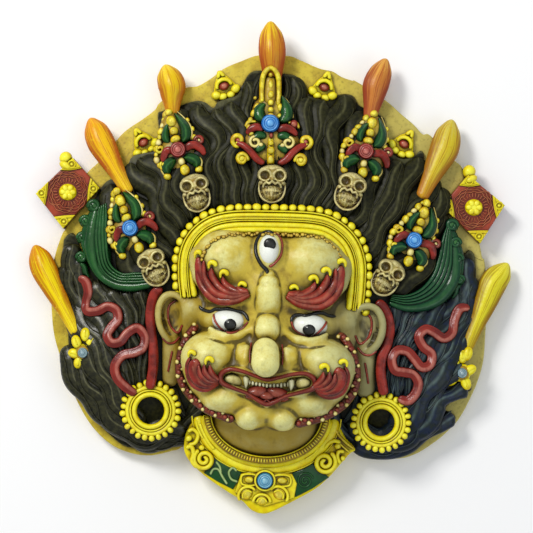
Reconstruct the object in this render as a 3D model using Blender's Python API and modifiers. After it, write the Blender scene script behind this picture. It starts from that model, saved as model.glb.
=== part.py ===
"""Wrathful deity mask, cast and painted: one hollow shell that lies on the flat rim of its back.

+X is to the viewer's right, +Y runs up to the tip of the top flame, +Z points out of the face.
The origin is on the back plane, at the middle of the mask's width and height.
"""
import math

import bmesh
import bpy
from mathutils import Matrix, Vector

MM = 0.001  # every size below is in millimetres; helpers turn it into metres

# Driving sizes
PLATE_THICK = 12.0      # halo plate, from the back plane to its front
HAIR_EDGE = 17.0        # height of the hair at its outer edge
HAIR_RISE = 39.0        # height of the hair dome against the head
BAND_HEIGHT = 52.0      # front of the crown band
WALL = 11.0             # wall of the shell
RIM = 24.0              # width of the flat rim at the back, under the hair dome
FLAME_FLAT = 0.75       # a flame's thickness over its width
HEAD_CENTRE = (1, -38)  # middle of the head's outline, from the top of the band to the chin
HEAD_HALF_WIDE = 63.0
HEAD_HALF_TALL = 76.0
HEAD_BLOCK = 45.0       # height of the head's upright sides
GRAIN = 1.3             # voxel size in which the front's lumps are joined
HOLLOW_GRAIN = 2.0      # and the hollow's
FRONT_FACETS = 8400     # triangles kept on the front form
HOLLOW_FACETS = 800     # and on the hollow

# Halo plate: right and left edges from the top flame down to the neck
PLATE_RIGHT = [(11, 162), (35, 153), (60, 144), (86, 130), (115, 105), (124, 100), (138, 86), (149, 66),
               (160, 24), (166, 6), (166, -50), (157, -92), (136, -125), (102, -142), (71, -134), (50, -118)]
PLATE_LEFT = [(-11, 162), (-38, 151), (-58, 137), (-90, 120), (-117, 96), (-137, 70), (-153, 44),
              (-158, 22), (-165, -33), (-157, -80), (-142, -113), (-120, -136), (-90, -144), (-60, -136),
              (-45, -118)]

# Hair edge: peaks lie behind the crown jewels, hollows between them
HAIR_RIGHT = [(8, 148), (24, 134), (40, 126), (58, 133), (66, 118), (83, 116), (98, 96), (114, 88),
              (118, 64), (129, 66), (140, 44), (152, 16), (154, -40), (151, -84), (128, -122), (112, -134),
              (70, -126), (46, -108)]
HAIR_LEFT = [(-13, 149), (-28, 136), (-45, 122), (-62, 124), (-84, 114), (-100, 90), (-114, 66),
             (-124, 63), (-138, 44), (-151, 20), (-151, -20), (-150, -66), (-136, -104), (-110, -133),
             (-84, -141), (-58, -130), (-44, -108)]

# Flames round the edge: lower end, belly, tip and the half width at the belly
FLAMES = [((0, 128, 30), (-1, 163, 26), (-1, 185, 22), 10.5),
          ((-77, 113, 24), (-77, 135, 21), (-82, 150, 18), 10.5),
          ((73, 112, 24), (77, 140, 21), (83, 159, 18), 9.5),
          ((-107, 54, 22), (-130, 90, 18), (-137, 108, 16), 10.0),
          ((115, 56, 22), (131, 92, 18), (135, 113, 16), 11.0),
          ((-143, -54, 18), (-170, -4, 14), (-178, 10, 13), 10.0),
          ((152, -60, 18), (172, -10, 14), (180, 5, 13), 10.5)]

# Square plaques at the sides: corners, then the knob
PLAQUES = [([(-178, 51), (-157, 26), (-130, 57), (-151, 79)], (-156, 79)),
           ([(131, 50), (160, 23), (178, 52), (150, 74)], (152, 77))]

# Crown jewels: stone, lean of the axis in degrees (left of upright is positive), size
JEWELS = [((-1, 108), 0, 1.15), ((-70, 87), 14, 1.0), ((71, 89), -14, 1.0),
          ((-105, 27), 22, 1.0), ((109, 24), -24, 1.0)]
# Skulls under them: middle of the eye sockets, and the same lean
SKULLS = [((1, 67), 0), ((-57, 60), 12), ((62, 64), -12), ((-88, 3), 25), ((92, 0), -28)]

# Small ornaments on the plate and flowers under the side flames
STUDS = [(-37, 136), (38, 137), (-97, 91), (100, 95)]
FLOWERS = [(-138, -68), (148, -76)]

# Wavy ribbons beside the ears
RIBBON_LEFT = [(-144, -12), (-137, -22), (-137, -36), (-121, -33), (-112, -42), (-120, -54), (-108, -58),
               (-96, -47), (-90, -56), (-104, -68), (-113, -80), (-102, -95)]
RIBBON_RIGHT = [(153, -26), (143, -34), (139, -49), (122, -44), (116, -54), (125, -64), (114, -71),
                (102, -60), (95, -68), (108, -76), (114, -88), (102, -96)]

MATERIAL = {"colour": (0.42, 0.36, 0.14, 1.0), "roughness": 0.45, "metallic": 0.0}


def smooth(points, steps=5, closed=False):
    """Points of a Catmull-Rom curve through the given points, of any dimension."""
    count = len(points)
    spans = count if closed else count - 1

    def at(index):
        return points[index % count] if closed else points[min(max(index, 0), count - 1)]

    result = []
    for i in range(spans):
        a, b, c, d = at(i - 1), at(i), at(i + 1), at(i + 2)
        for k in range(steps):
            t = k / steps
            result.append(tuple(
                0.5 * (2 * q + (r - p) * t + (2 * p - 5 * q + 4 * r - s) * t ** 2
                       + (3 * q - p - 3 * r + s) * t ** 3)
                for p, q, r, s in zip(a, b, c, d)))
    if not closed:
        result.append(tuple(points[-1]))
    return result


def unit_ball(segments):
    """Mesh of a ball of radius 1, made once and copied for every ellipsoid."""
    name = f"unit ball {segments}"
    if name not in bpy.data.meshes:
        form = bmesh.new()
        bmesh.ops.create_uvsphere(form, u_segments=segments, v_segments=segments // 2 + 1, radius=1.0)
        form.to_mesh(bpy.data.meshes.new(name))
        form.free()
    return bpy.data.meshes[name]


def ball(clay, centre, radii, turn=0.0, segments=24):
    """Ellipsoid with three radii, turned by degrees about Z."""
    mesh = unit_ball(segments).copy()
    mesh.transform(Matrix.Translation(Vector(centre) * MM)
                   @ Matrix.Rotation(math.radians(turn), 4, "Z")
                   @ Matrix.Diagonal((*(r * MM for r in radii), 1.0)))
    clay.from_mesh(mesh)
    bpy.data.meshes.remove(mesh)


def add_curve(clay, curve, lift=None):
    """Mesh of a curve, welded, its points raised by lift(x, y) and added to the clay."""
    holder = bpy.data.objects.new("guide", curve)
    bpy.context.scene.collection.objects.link(holder)
    graph = bpy.context.evaluated_depsgraph_get()
    mesh = bpy.data.meshes.new_from_object(holder.evaluated_get(graph))
    if lift:
        for vertex in mesh.vertices:
            vertex.co.z = lift(vertex.co)
    clay.from_mesh(mesh)
    bpy.data.objects.remove(holder)
    bpy.data.curves.remove(curve)
    bpy.data.meshes.remove(mesh)


def slab(clay, outline, low, high):
    """Flat shape with the given outline, from one height to another."""
    curve = bpy.data.curves.new("outline", "CURVE")
    curve.dimensions = "2D"
    curve.fill_mode = "BOTH"
    curve.extrude = (high - low) / 2 * MM
    spline = curve.splines.new("POLY")
    spline.points.add(len(outline) - 1)
    for point, (x, y) in zip(spline.points, outline):
        point.co = (x * MM, y * MM, 0.0, 1.0)
    spline.use_cyclic_u = True
    middle = (high + low) / 2 * MM
    add_curve(clay, curve, lambda co: co.z + middle)


def bar(clay, path, half_widths, flat=1.0, steps=6):
    """Bar along a smooth path (x, y, z), with its own half width at each point, pressed flat."""
    stations = smooth([(*p, w) for p, w in zip(path, half_widths)], steps)
    curve = bpy.data.curves.new("bar", "CURVE")
    curve.dimensions = "3D"
    curve.bevel_depth = MM
    curve.bevel_resolution = 3
    curve.use_fill_caps = True
    spline = curve.splines.new("POLY")
    spline.points.add(len(stations) - 1)
    for point, (x, y, z, width) in zip(spline.points, stations):
        point.co = (x * MM, y * MM, 0.0, 1.0)
        point.radius = max(width, 0.3)

    def lift(co):
        near = min(stations, key=lambda s: (s[0] * MM - co.x) ** 2 + (s[1] * MM - co.y) ** 2)
        return co.z * flat + near[2] * MM

    add_curve(clay, curve, lift)


def hair_height(x, y):
    """Height of the hair over the back plane, at the dome or over the side lobes."""
    dome = 1 - (x / 158) ** 2 - (y / 152) ** 2
    lobe = 1 - ((abs(x) - 98) / 68) ** 2 - ((y + 74) / 70) ** 2
    rise = max(HAIR_RISE * math.sqrt(max(dome, 0)), (HAIR_RISE - 5) * math.sqrt(max(lobe, 0)))
    return max(rise, HAIR_EDGE)


def hair_dome(clay, inset=0.0):
    """Dome of hair round the head and its two lower lobes, shrunk by inset for the hollow."""
    thin = WALL if inset else 0.0
    ball(clay, (0, 0, 0), (158 - inset, 152 - inset, HAIR_RISE - thin))
    for side in (-1, 1):
        ball(clay, (98 * side, -74, 0), (68 - inset, 70 - inset, HAIR_RISE - 5 - thin))


def head_form(clay, inset=0.0):
    """Head block, forehead, lower face, cheeks, chin and neck, shrunk by inset for the hollow."""
    half_wide, half_tall = HEAD_HALF_WIDE - inset, HEAD_HALF_TALL - inset
    block = []
    for k in range(40):
        c, s = math.cos(math.tau * k / 40), math.sin(math.tau * k / 40)
        block.append((HEAD_CENTRE[0] + half_wide * math.copysign(abs(c) ** 0.7, c),
                      HEAD_CENTRE[1] + half_tall * math.copysign(abs(s) ** 0.7, s)))
    slab(clay, block, -5, HEAD_BLOCK - inset)
    ball(clay, (2, -4, 0), (70 - inset, 56 - inset, 69 - inset))
    ball(clay, (0, -42, 0), (66 - inset, 60 - inset, 66 - inset))
    ball(clay, (0, -74, 0), (66 - inset, 50 - inset, 80 - inset))
    for side in (-1, 1):
        ball(clay, (36 * side, -72, 42), (27 - inset, 24 - inset, 44 - inset))
    ball(clay, (0, -104, 30), (29 - inset, 17 - inset / 2, 50 - inset))
    ball(clay, (0, -122, 0), (42 - inset, 30 - inset, 46 - inset))


def locks(clay):
    """Large wavy locks: a fan over the top of the head, and arcs round each lower lobe."""
    for step in range(17):
        angle = math.radians(15 + 150 * step / 16)
        path = []
        for k in range(5):
            reach = 50 + 82 * k / 4
            sway = 3.0 * math.sin(k * 1.9 + step)
            x = 1.06 * reach * math.cos(angle) - sway * math.sin(angle)
            y = reach * math.sin(angle) + sway * math.cos(angle)
            path.append((x, y, hair_height(x, y) - 2))
        bar(clay, path, [6, 6, 5.5, 5, 3], flat=0.9)
    for side in (-1, 1):
        for ring in range(5):
            reach = 64 - 10 * ring
            path = []
            for k in range(7):
                angle = math.radians(100 + 170 * k / 6)
                x = side * (96 - reach * math.cos(angle))
                y = -70 + reach * math.sin(angle)
                path.append((x, y, hair_height(x, y) - 2))
            bar(clay, path, [3, 4.5, 5, 5, 5, 4.5, 3], flat=0.9)


def flame(clay, low, belly, tip, half_width):
    """Leaf-shaped flame that swells to its belly and closes in a blunt tip."""
    path = [low, *(tuple(a + (b - a) * t for a, b in zip(low, belly)) for t in (0.4, 0.75)), belly,
            tuple(a + (b - a) * 0.6 for a, b in zip(belly, tip)), tip]
    shares = [0.38, 0.6, 0.88, 1.0, 0.78, 0.25]
    bar(clay, path, [half_width * s for s in shares], flat=FLAME_FLAT)


def plaque(clay, corners, knob):
    """Square plaque with a round boss and four raised corners, and a knob over its top corner."""
    cx = sum(x for x, _ in corners) / 4
    cy = sum(y for _, y in corners) / 4
    slab(clay, corners, 4, 19)
    ball(clay, (cx, cy, 19), (7, 7, 5))
    for x, y in corners:
        ball(clay, (x + (cx - x) * 0.28, y + (cy - y) * 0.28, 19), (4.5, 4.5, 3.5))
    bar(clay, [(knob[0] + (cx - knob[0]) * 0.5, knob[1] + (cy - knob[1]) * 0.5, 14), (*knob, 14),
               (knob[0], knob[1] + 3, 14)], [6, 6, 4])


def jewel(clay, stone, lean, size):
    """Crown jewel: a stone in volutes, leaves and beads, with a stack of beads rising over it."""
    turn = math.radians(lean)

    def at(across, up, height=0.0):
        x = stone[0] + size * (across * math.cos(turn) - up * math.sin(turn))
        y = stone[1] + size * (across * math.sin(turn) + up * math.cos(turn))
        return (x, y, hair_height(x, y) + height)

    ball(clay, at(0, 0, 2), (16 * size, 17 * size, 8), lean)
    ball(clay, at(0, 14, 2), (9 * size, 14 * size, 7), lean)
    ball(clay, at(0, 0, 9), (6.5, 6.5, 5))
    for k in range(5):
        ball(clay, at(0, 9 + 6.0 * k, 7 - k * 0.5), (5.4 - 0.6 * k, 4.6 - 0.4 * k, 5), lean)
    for side in (-1, 1):
        bar(clay, [at(5 * side, 2, 7), at(12 * side, -1, 8), at(17 * side, 4, 7)], [4, 4, 2.5])
        ball(clay, at(9 * side, 13, 5), (5, 7, 5), lean + 20 * side)
        ball(clay, at(17 * side, -11, 4), (6.5, 5.5, 5), lean)
        ball(clay, at(7 * side, -15, 5), (5.5, 7, 5), lean)


def skull(clay, sockets, lean):
    """Small skull: round cranium, cheek bones and a narrower jaw."""
    turn = math.radians(lean)

    def at(across, up, height):
        x = sockets[0] + across * math.cos(turn) - up * math.sin(turn)
        y = sockets[1] + across * math.sin(turn) + up * math.cos(turn)
        return (x, y, hair_height(x, y) + height)

    ball(clay, at(0, 2, 1), (11, 9.5, 13), lean)
    ball(clay, at(0, -10, 1), (8, 9.5, 11), lean)
    for side in (-1, 1):
        ball(clay, at(7 * side, -5, 4), (3.5, 3, 6), lean)


def skull_recesses(cut, sockets, lean):
    """Eye sockets, as cutters."""
    turn = math.radians(lean)

    def at(across, up, height):
        x = sockets[0] + across * math.cos(turn) - up * math.sin(turn)
        y = sockets[1] + across * math.sin(turn) + up * math.cos(turn)
        return (x, y, hair_height(x, y) + height)

    for side in (-1, 1):
        ball(cut, at(5.2 * side, 0, 14), (4.2, 4.2, 6), lean, segments=10)


def crown_band(clay):
    """Raised band that arches over the forehead, with a row of beads on its outer edge."""
    arch = smooth([(-60, -24), (-62, -6), (-60, 12), (-50, 27), (-34, 34), (0, 35), (38, 34), (55, 27),
                   (65, 10), (67, -10), (66, -30)], 6)
    bar(clay, [(x, y, BAND_HEIGHT - 9 - 6 * abs(x / 66) ** 2) for x, y in arch[::3]], [9.0] * len(arch[::3]),
        flat=1.0)
    for x, y in arch[1::2]:
        out = Vector((x - 2, (y + 30) * 0.9)).normalized() * 8.5
        ball(clay, (x + out.x, y + out.y, BAND_HEIGHT - 12 - 6 * abs(x / 66) ** 2), (3.6, 3.6, 4.5))


def brow(clay, side):
    """Flame-like eyebrow: a thick comma that curls up at its outer end."""
    path = [(14, -20, 71), (28, -24, 70), (42, -19, 66), (51, -8, 60), (54, 5, 56)]
    bar(clay, [(x * side, y, z - 4) for x, y, z in path], [3, 7, 9, 8, 3.5], flat=0.8)
    for x, y, z in ((31, -10, 68), (42, -3, 64), (21, -16, 71)):
        ball(clay, (x * side, y, z - 2), (4, 4, 4))


def eye(clay, side):
    """Bulging eye between an upper and a lower lid."""
    ball(clay, (30 * side, -42, 55), (14, 8.5, 11))
    upper = [(15, -39, 62), (24, -33, 65), (36, -32, 64), (47, -33, 59)]
    lower = [(15, -40, 61), (22, -48, 64), (32, -50, 64), (43, -40, 60)]
    bar(clay, [(x * side, y, z) for x, y, z in upper], [1.5, 2.2, 2.2, 1.5])
    bar(clay, [(x * side, y, z) for x, y, z in lower], [1.5, 2.2, 2.2, 1.5])


def nose(clay):
    """Nose: bump between the brows, bridge, ball of the tip and two wings."""
    ball(clay, (0, -19, 66), (9, 14, 14))
    bar(clay, [(0, -34, 74), (0, -48, 80), (0, -64, 90), (0, -76, 92)], [7, 7.5, 9.5, 8.5])
    ball(clay, (0, -68, 90), (10, 12, 13))
    for side in (-1, 1):
        ball(clay, (14 * side, -65, 78), (9, 9, 10))


def mouth(clay):
    """Moustache, open lips, fangs, tongue and the two bumps of the chin."""
    for side in (-1, 1):
        path = [(34, -88, 78), (43, -90, 80), (52, -82, 80), (54, -68, 76)]
        bar(clay, [(x * side, y, z) for x, y, z in path], [5, 9, 8, 3], flat=0.8)
        ball(clay, (44 * side, -74, 80), (4.5, 5, 5))
        ball(clay, (17 * side, -86, 74), (3, 6, 5))
        ball(clay, (11 * side, -111, 76), (10, 10, 10))
    upper = [(-35, -84, 78), (-26, -76, 82), (-10, -79, 84), (0, -83, 85), (10, -80, 84), (26, -77, 82),
             (35, -84, 78)]
    lower = [(-35, -86, 78), (-22, -93, 80), (-8, -99, 81), (0, -102, 81), (8, -99, 81), (22, -94, 80),
             (35, -87, 78)]
    bar(clay, upper, [2.6] * 7)
    bar(clay, lower, [2.6] * 7)
    ball(clay, (1, -95, 74), (10, 7, 6))
    ball(clay, (0, -86, 72), (16, 5, 6))


def jaw_beard(clay, side):
    """Narrow beaded beard along the jaw, from the temple to the chin."""
    path = [(56, -48, 38), (65, -66, 40), (64, -86, 42), (52, -102, 46), (36, -111, 54), (23, -115, 60)]
    bar(clay, [(x * side, y, z) for x, y, z in path], [4, 5, 5.5, 5.5, 5, 4])


def ear(clay, side):
    """Ear with a long lobe and, beside it, the strap that carries the earring."""
    bar(clay, [(x * side, y, z) for x, y, z in ((68, -24, 40), (78, -20, 44), (88, -30, 44), (87, -46, 43),
                                                 (79, -58, 42), (76, -74, 40), (78, -92, 38))],
        [4, 4.5, 4.5, 4.5, 4.5, 5.5, 5])
    ball(clay, (74 * side, -40, 34), (11, 19, 10))
    ball(clay, (72 * side, -74, 32), (9, 20, 9))
    bar(clay, [(x * side, y, z) for x, y, z in ((84, -20, 38), (92, -36, 38), (91, -58, 38), (86, -74, 40),
                                                 (88, -92, 40))], [3.5] * 5)


def earring(clay, centre, outer, hole):
    """Round earring: a ring with an outer row of beads."""
    height = hair_height(*centre) + 4
    count = 20
    middle = (outer + hole) / 2
    ring = [(centre[0] + middle * math.cos(math.tau * k / count),
             centre[1] + middle * math.sin(math.tau * k / count), height) for k in range(count + 1)]
    bar(clay, ring, [(outer - hole) / 2 - 0.8] * (count + 1), flat=0.9, steps=2)
    for k in range(count):
        angle = math.tau * k / count
        ball(clay, (centre[0] + (outer - 1.5) * math.cos(angle), centre[1] + (outer - 1.5) * math.sin(angle),
                    height - 1), (3.2, 3.2, 4))


def scarf(clay, side):
    """Fold of cloth that rises from behind the ear and turns up in volutes, in four ridges."""
    inner = [(92, -12), (112, -9), (121, 2), (121, 22), (124, 38)]
    outer = [(92, -26), (118, -26), (136, -14), (141, 8), (136, 38)]
    for ridge in range(4):
        share = (ridge + 0.5) / 4
        path = [(side * (a[0] + (b[0] - a[0]) * share), a[1] + (b[1] - a[1]) * share)
                for a, b in zip(inner, outer)]
        bar(clay, [(x, y, hair_height(x, y) + 4 - abs(share - 0.4) * 4) for x, y in path],
            [2.6, 3.2, 3.4, 3.2, 2.4])
    for k in range(4):
        x, y = side * (134 + 5 * math.sin(0.9 * k)), 42 - 13 * k
        ball(clay, (x, y, hair_height(x, y) + 3), (4.2, 4.2, 5))


def ribbon(clay, points):
    """Narrow wavy ribbon lying on the hair."""
    path = [(x, y, hair_height(x, y) + 3.5) for x, y in points]
    bar(clay, path, [2.4] + [3.3] * (len(points) - 2) + [3.0])


def necklace(clay):
    """Collar under the chin: a pointed apron, a gold band and a ticked band, a stone and petals."""
    apron = smooth([(-47, -112), (-58, -124), (-60, -141), (-46, -158), (-25, -172), (-8, -185), (0, -187),
                    (8, -185), (25, -176), (50, -158), (69, -137), (52, -116), (0, -112)], 4, closed=True)
    slab(clay, apron, 0, 22)
    for reach, height, half in ((46, 30, 5.0), (38, 35, 3.6)):
        path = []
        for k in range(9):
            angle = math.radians(180 + 180 * k / 8)
            drop = 1.0 if reach < 40 else 1.08
            path.append((1 + reach * 1.08 * math.cos(angle), -111 + reach * drop * 0.86 * math.sin(angle),
                         height))
        bar(clay, path, [half] * 9)
    ball(clay, (1, -161.5, 26), (9, 9, 7))
    for x, y in ((-10, -161), (14, -161), (-12, -174), (-1, -178), (12, -173)):
        ball(clay, (x, y, 22), (6.5, 5.5, 5))
    for side in (-1, 1):
        ball(clay, (44 * side, -144, 22), (14, 14, 6), 40 * side)
        ball(clay, (27 * side, -160, 21), (14, 9, 5), 32 * side)


def stud(clay, x, y):
    """Three beads and a pointed top, set on the plate."""
    ball(clay, (x, y, 13), (8, 8, 6))
    for k in range(3):
        angle = math.radians(-150 + 60 * k)
        ball(clay, (x + 6 * math.cos(angle), y + 6 * math.sin(angle), 16), (3.6, 3.6, 4))
    ball(clay, (x, y, 18), (3.5, 3.5, 4))
    ball(clay, (x + 5 * x / 100, y + 9, 13), (4, 5, 5))


def flower(clay, x, y):
    """Flower with a stone in its middle and six petals."""
    height = 20
    ball(clay, (x, y, height), (5, 5, 6))
    for k in range(6):
        angle = math.radians(60 * k + 30)
        ball(clay, (x + 7 * math.cos(angle), y + 7 * math.sin(angle), height - 2), (4.2, 4.2, 4.5))


def front_form():
    """Every mass of the mask's front, laid into each other as separate closed lumps."""
    clay = bmesh.new()
    slab(clay, smooth(PLATE_RIGHT + PLATE_LEFT[::-1], 4, closed=True), -6, PLATE_THICK)
    slab(clay, smooth(HAIR_RIGHT + HAIR_LEFT[::-1], 4, closed=True), 0, HAIR_EDGE)
    hair_dome(clay)
    head_form(clay)
    locks(clay)
    for low, belly, tip, half_width in FLAMES:
        flame(clay, low, belly, tip, half_width)
    for corners, knob in PLAQUES:
        plaque(clay, corners, knob)
    for stone, lean, size in JEWELS:
        jewel(clay, stone, lean, size)
    for sockets, lean in SKULLS:
        skull(clay, sockets, lean)
    crown_band(clay)
    ball(clay, (0, 9, 62), (9, 15, 9))
    nose(clay)
    mouth(clay)
    for side in (-1, 1):
        brow(clay, side)
        eye(clay, side)
        jaw_beard(clay, side)
        ear(clay, side)
        scarf(clay, side)
    earring(clay, (-86, -110), 21, 9.5)
    earring(clay, (89.5, -114.5), 22, 9.0)
    ribbon(clay, RIBBON_LEFT)
    ribbon(clay, RIBBON_RIGHT)
    necklace(clay)
    for x, y in STUDS:
        stud(clay, x, y)
    for x, y in FLOWERS:
        flower(clay, x, y)
    bmesh.ops.remove_doubles(clay, verts=clay.verts, dist=1e-7)
    return clay


def hollow_form():
    """Hollow of the back: the same masses, smaller by the wall, down through the back plane."""
    space = bmesh.new()
    hair_dome(space, RIM)
    head_form(space, WALL + 1.5)
    bmesh.ops.remove_doubles(space, verts=space.verts, dist=1e-7)
    return space


def mesh_object(name, form, collection):
    mesh = bpy.data.meshes.new(name)
    form.to_mesh(mesh)
    form.free()
    thing = bpy.data.objects.new(name, mesh)
    collection.objects.link(thing)
    return thing


def baked(thing):
    """Replaces the object's mesh with its modifiers' result."""
    graph = bpy.context.evaluated_depsgraph_get()
    mesh = bpy.data.meshes.new_from_object(thing.evaluated_get(graph))
    thing.modifiers.clear()
    old = thing.data
    thing.data = mesh
    bpy.data.meshes.remove(old)
    mesh.name = thing.name


def fuse(thing, grain, triangles):
    """Joins the overlapping lumps into one skin, and keeps only the given number of facets."""
    skin = thing.modifiers.new("one skin", "REMESH")
    skin.mode = "VOXEL"
    skin.voxel_size = grain * MM
    baked(thing)
    thin = thing.modifiers.new("facets", "DECIMATE")
    thin.ratio = triangles / (2 * len(thing.data.polygons))
    thin.use_collapse_triangulate = True
    baked(thing)


def cutter(name, form, collection):
    thing = mesh_object(name, form, collection)
    thing.hide_render = True
    thing.display_type = "WIRE"
    return thing


def cut(thing, tool):
    difference = thing.modifiers.new("cut by " + tool.name, "BOOLEAN")
    difference.operation = "DIFFERENCE"
    difference.object = tool


def material():
    paint = bpy.data.materials.new("painted cast")
    paint.use_nodes = True
    shader = paint.node_tree.nodes["Principled BSDF"]
    shader.inputs["Base Color"].default_value = MATERIAL["colour"]
    shader.inputs["Roughness"].default_value = MATERIAL["roughness"]
    shader.inputs["Metallic"].default_value = MATERIAL["metallic"]
    return paint


def main():
    for thing in list(bpy.data.objects):
        bpy.data.objects.remove(thing)
    parts = bpy.data.collections.new("bhairab mask")
    tools = bpy.data.collections.new("cutters")
    bpy.context.scene.collection.children.link(parts)
    bpy.context.scene.collection.children.link(tools)

    mask = mesh_object("bhairab_mask", front_form(), parts)
    fuse(mask, GRAIN, FRONT_FACETS)

    hollow = cutter("hollow", hollow_form(), tools)
    fuse(hollow, HOLLOW_GRAIN, HOLLOW_FACETS)
    recesses = bmesh.new()
    for sockets, lean in SKULLS:
        skull_recesses(recesses, sockets, lean)
    below = bmesh.new()
    bmesh.ops.create_cube(below, size=1.0, matrix=Matrix.Translation((0, 0, -0.05))
                          @ Matrix.Diagonal((0.6, 0.6, 0.1, 1.0)))
    cut(mask, hollow)
    cut(mask, cutter("skull recesses", recesses, tools))
    cut(mask, cutter("back plane", below, tools))
    mask.data.materials.append(material())


main()
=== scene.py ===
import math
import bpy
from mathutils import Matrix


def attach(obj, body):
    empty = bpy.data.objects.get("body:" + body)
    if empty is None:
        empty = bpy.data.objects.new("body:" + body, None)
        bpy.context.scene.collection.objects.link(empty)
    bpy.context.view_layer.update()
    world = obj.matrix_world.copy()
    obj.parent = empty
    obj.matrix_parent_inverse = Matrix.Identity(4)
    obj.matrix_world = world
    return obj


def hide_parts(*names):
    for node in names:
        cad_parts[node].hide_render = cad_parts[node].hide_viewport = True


bl_info = {
    "name": "Painted deity mask",
    "version": (1, 0, 0),
    "blender": (4, 5, 0),
    "location": "3D View > Sidebar > Mask",
    "description": "Builds the relief and the paint of a wrathful deity mask, piece by piece",
    "category": "Add Mesh",
}

import bmesh
import bpy
import numpy as np
from bpy.props import FloatProperty, FloatVectorProperty, PointerProperty
from mathutils import Matrix, Vector
from mathutils.bvhtree import BVHTree

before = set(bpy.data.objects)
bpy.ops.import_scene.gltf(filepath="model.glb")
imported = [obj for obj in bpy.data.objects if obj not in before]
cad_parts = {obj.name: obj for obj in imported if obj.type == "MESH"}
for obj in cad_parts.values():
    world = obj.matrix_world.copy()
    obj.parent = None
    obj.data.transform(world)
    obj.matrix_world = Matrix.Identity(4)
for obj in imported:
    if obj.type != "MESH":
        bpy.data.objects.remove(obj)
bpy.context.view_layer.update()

NODE = "bhairab_mask"
MM = 0.001  # forms are modelled in millimetres and scaled when they become objects

# ---------------------------------------------------------------- sizes shared with the solid

PLATE_THICK = 12.0
HAIR_EDGE = 17.0            # height of the hair at its outline
HAIR_RISE = 39.0            # and at the middle of its dome
DOME = (158.0, 152.0)       # half width and half height of the dome of hair
LOBE = (98.0, -74.0)        # middle of the side lobe at the right
LOBE_REACH = (68.0, 70.0)   # half width and half height of a side lobe
LOBE_DROP = 5.0             # how much lower than the dome the lobes are
WALL = 11.0                 # wall of the solid
RIM = 24.0                  # width of its flat rim at the back
LINING = 2.0                # depth of the lining that faces the hollow
LINING_GAP = 0.2            # how far the lining's edge stays above the plane of the rim

# Edge of the halo plate, right and left, from the top flame down to the neck
PLATE_RIGHT = [(11, 162), (20, 159), (35, 153), (45, 151), (52, 147), (60, 144.5), (64, 143.5), (86, 130),
               (98, 120), (108, 112), (115, 105), (121, 104), (138, 87), (146, 80), (150, 66), (160.5, 23),
               (163, 12), (165, 8), (168, -20), (167, -44), (166, -66), (162.5, -81), (157.5, -94),
               (149, -111), (140, -121.5), (131, -129.5), (116, -139.5), (101, -143.5), (82, -141),
               (71, -136), (50, -118)]
PLATE_LEFT = [(-11, 162), (-25, 157), (-38, 151), (-48, 143), (-58, 137), (-66, 136), (-78, 130), (-87, 123),
              (-90, 118), (-100, 110), (-110, 103), (-117, 96), (-132, 77), (-140, 69), (-151, 52),
              (-156, 26), (-158, 22), (-163, 6), (-166, -15), (-165, -34), (-162.3, -56), (-155, -78.5),
              (-146, -101), (-133, -123), (-117.5, -137.8), (-102, -144.3), (-86.7, -145.9), (-71.5, -142.4),
              (-61.7, -138), (-45, -118)]
# Edge of the hair, the same way round
HAIR_RIGHT = [(8, 148), (18, 146), (24, 134), (31, 130), (40, 129.5), (53, 133.7), (61.5, 132.3),
              (65.5, 125.5), (80, 119), (85.7, 114.6), (86.2, 99.4), (90.6, 90), (98, 85.4), (107.5, 86.7),
              (113, 91.7), (116, 90), (117, 81), (125, 66), (129.7, 66), (132, 56), (136, 40), (142, 22),
              (148, 14), (152.5, 17.5), (157, 12.5), (158.3, -5.4), (156.2, -19), (154, -40), (152, -62),
              (149.7, -84), (156, -86.5), (156.5, -89.5), (148, -94), (139, -100.5), (134, -109),
              (142.5, -107.8), (145.5, -110.8), (143, -114.7), (134, -120.3), (125, -127.4), (119, -133.6),
              (114.5, -137.6), (104, -141.6), (88.7, -142), (75, -137), (60, -124), (46, -108)]
HAIR_LEFT = [(-9.7, 150), (-18, 148), (-23.5, 138.5), (-27, 130.7), (-34.6, 127.6), (-42, 124.6), (-45, 120),
             (-51.7, 124.4), (-59.3, 125.3), (-72, 121), (-84, 117), (-87.3, 115), (-86, 100), (-88, 87),
             (-98, 84), (-107, 80), (-110.5, 64), (-124, 63), (-134, 48), (-138, 30), (-140, 8), (-143.5, 8),
             (-146, 17), (-150.5, 22.5), (-156.5, 17), (-156.5, 2), (-154.8, -10), (-152, -36), (-150, -66),
             (-144, -88), (-136, -106), (-130, -118), (-111, -136), (-102, -140), (-86.5, -142),
             (-71.5, -139.5), (-62.5, -135.5), (-50, -120), (-44, -108)]


def hair_height(x, y):
    """Height of the hair over the back plane, at the dome or over the side lobes."""
    dome = 1 - (x / DOME[0]) ** 2 - (y / DOME[1]) ** 2
    lobe = 1 - ((abs(x) - LOBE[0]) / LOBE_REACH[0]) ** 2 - ((y - LOBE[1]) / LOBE_REACH[1]) ** 2
    rise = max(HAIR_RISE * math.sqrt(max(dome, 0)), (HAIR_RISE - LOBE_DROP) * math.sqrt(max(lobe, 0)))
    return max(rise, HAIR_EDGE)


# ---------------------------------------------------------------- forms

def curve_through(points, steps=8, closed=False):
    """Catmull-Rom curve through rows of numbers, as an array with a row for each station."""
    rows = np.asarray(points, float)
    if closed:
        guide = np.vstack([rows[-1], rows, rows[0], rows[1]])
    else:
        guide = np.vstack([2 * rows[0] - rows[1], rows, 2 * rows[-1] - rows[-2]])
    t = np.linspace(0, 1, steps, endpoint=False)[:, None]
    spans = [0.5 * (2 * b + (c - a) * t + (2 * a - 5 * b + 4 * c - d) * t ** 2
                    + (3 * b - a - 3 * c + d) * t ** 3)
             for a, b, c, d in zip(guide, guide[1:], guide[2:], guide[3:])]
    curve = np.vstack(spans)
    return curve if closed else np.vstack([curve, rows[-1]])


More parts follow.
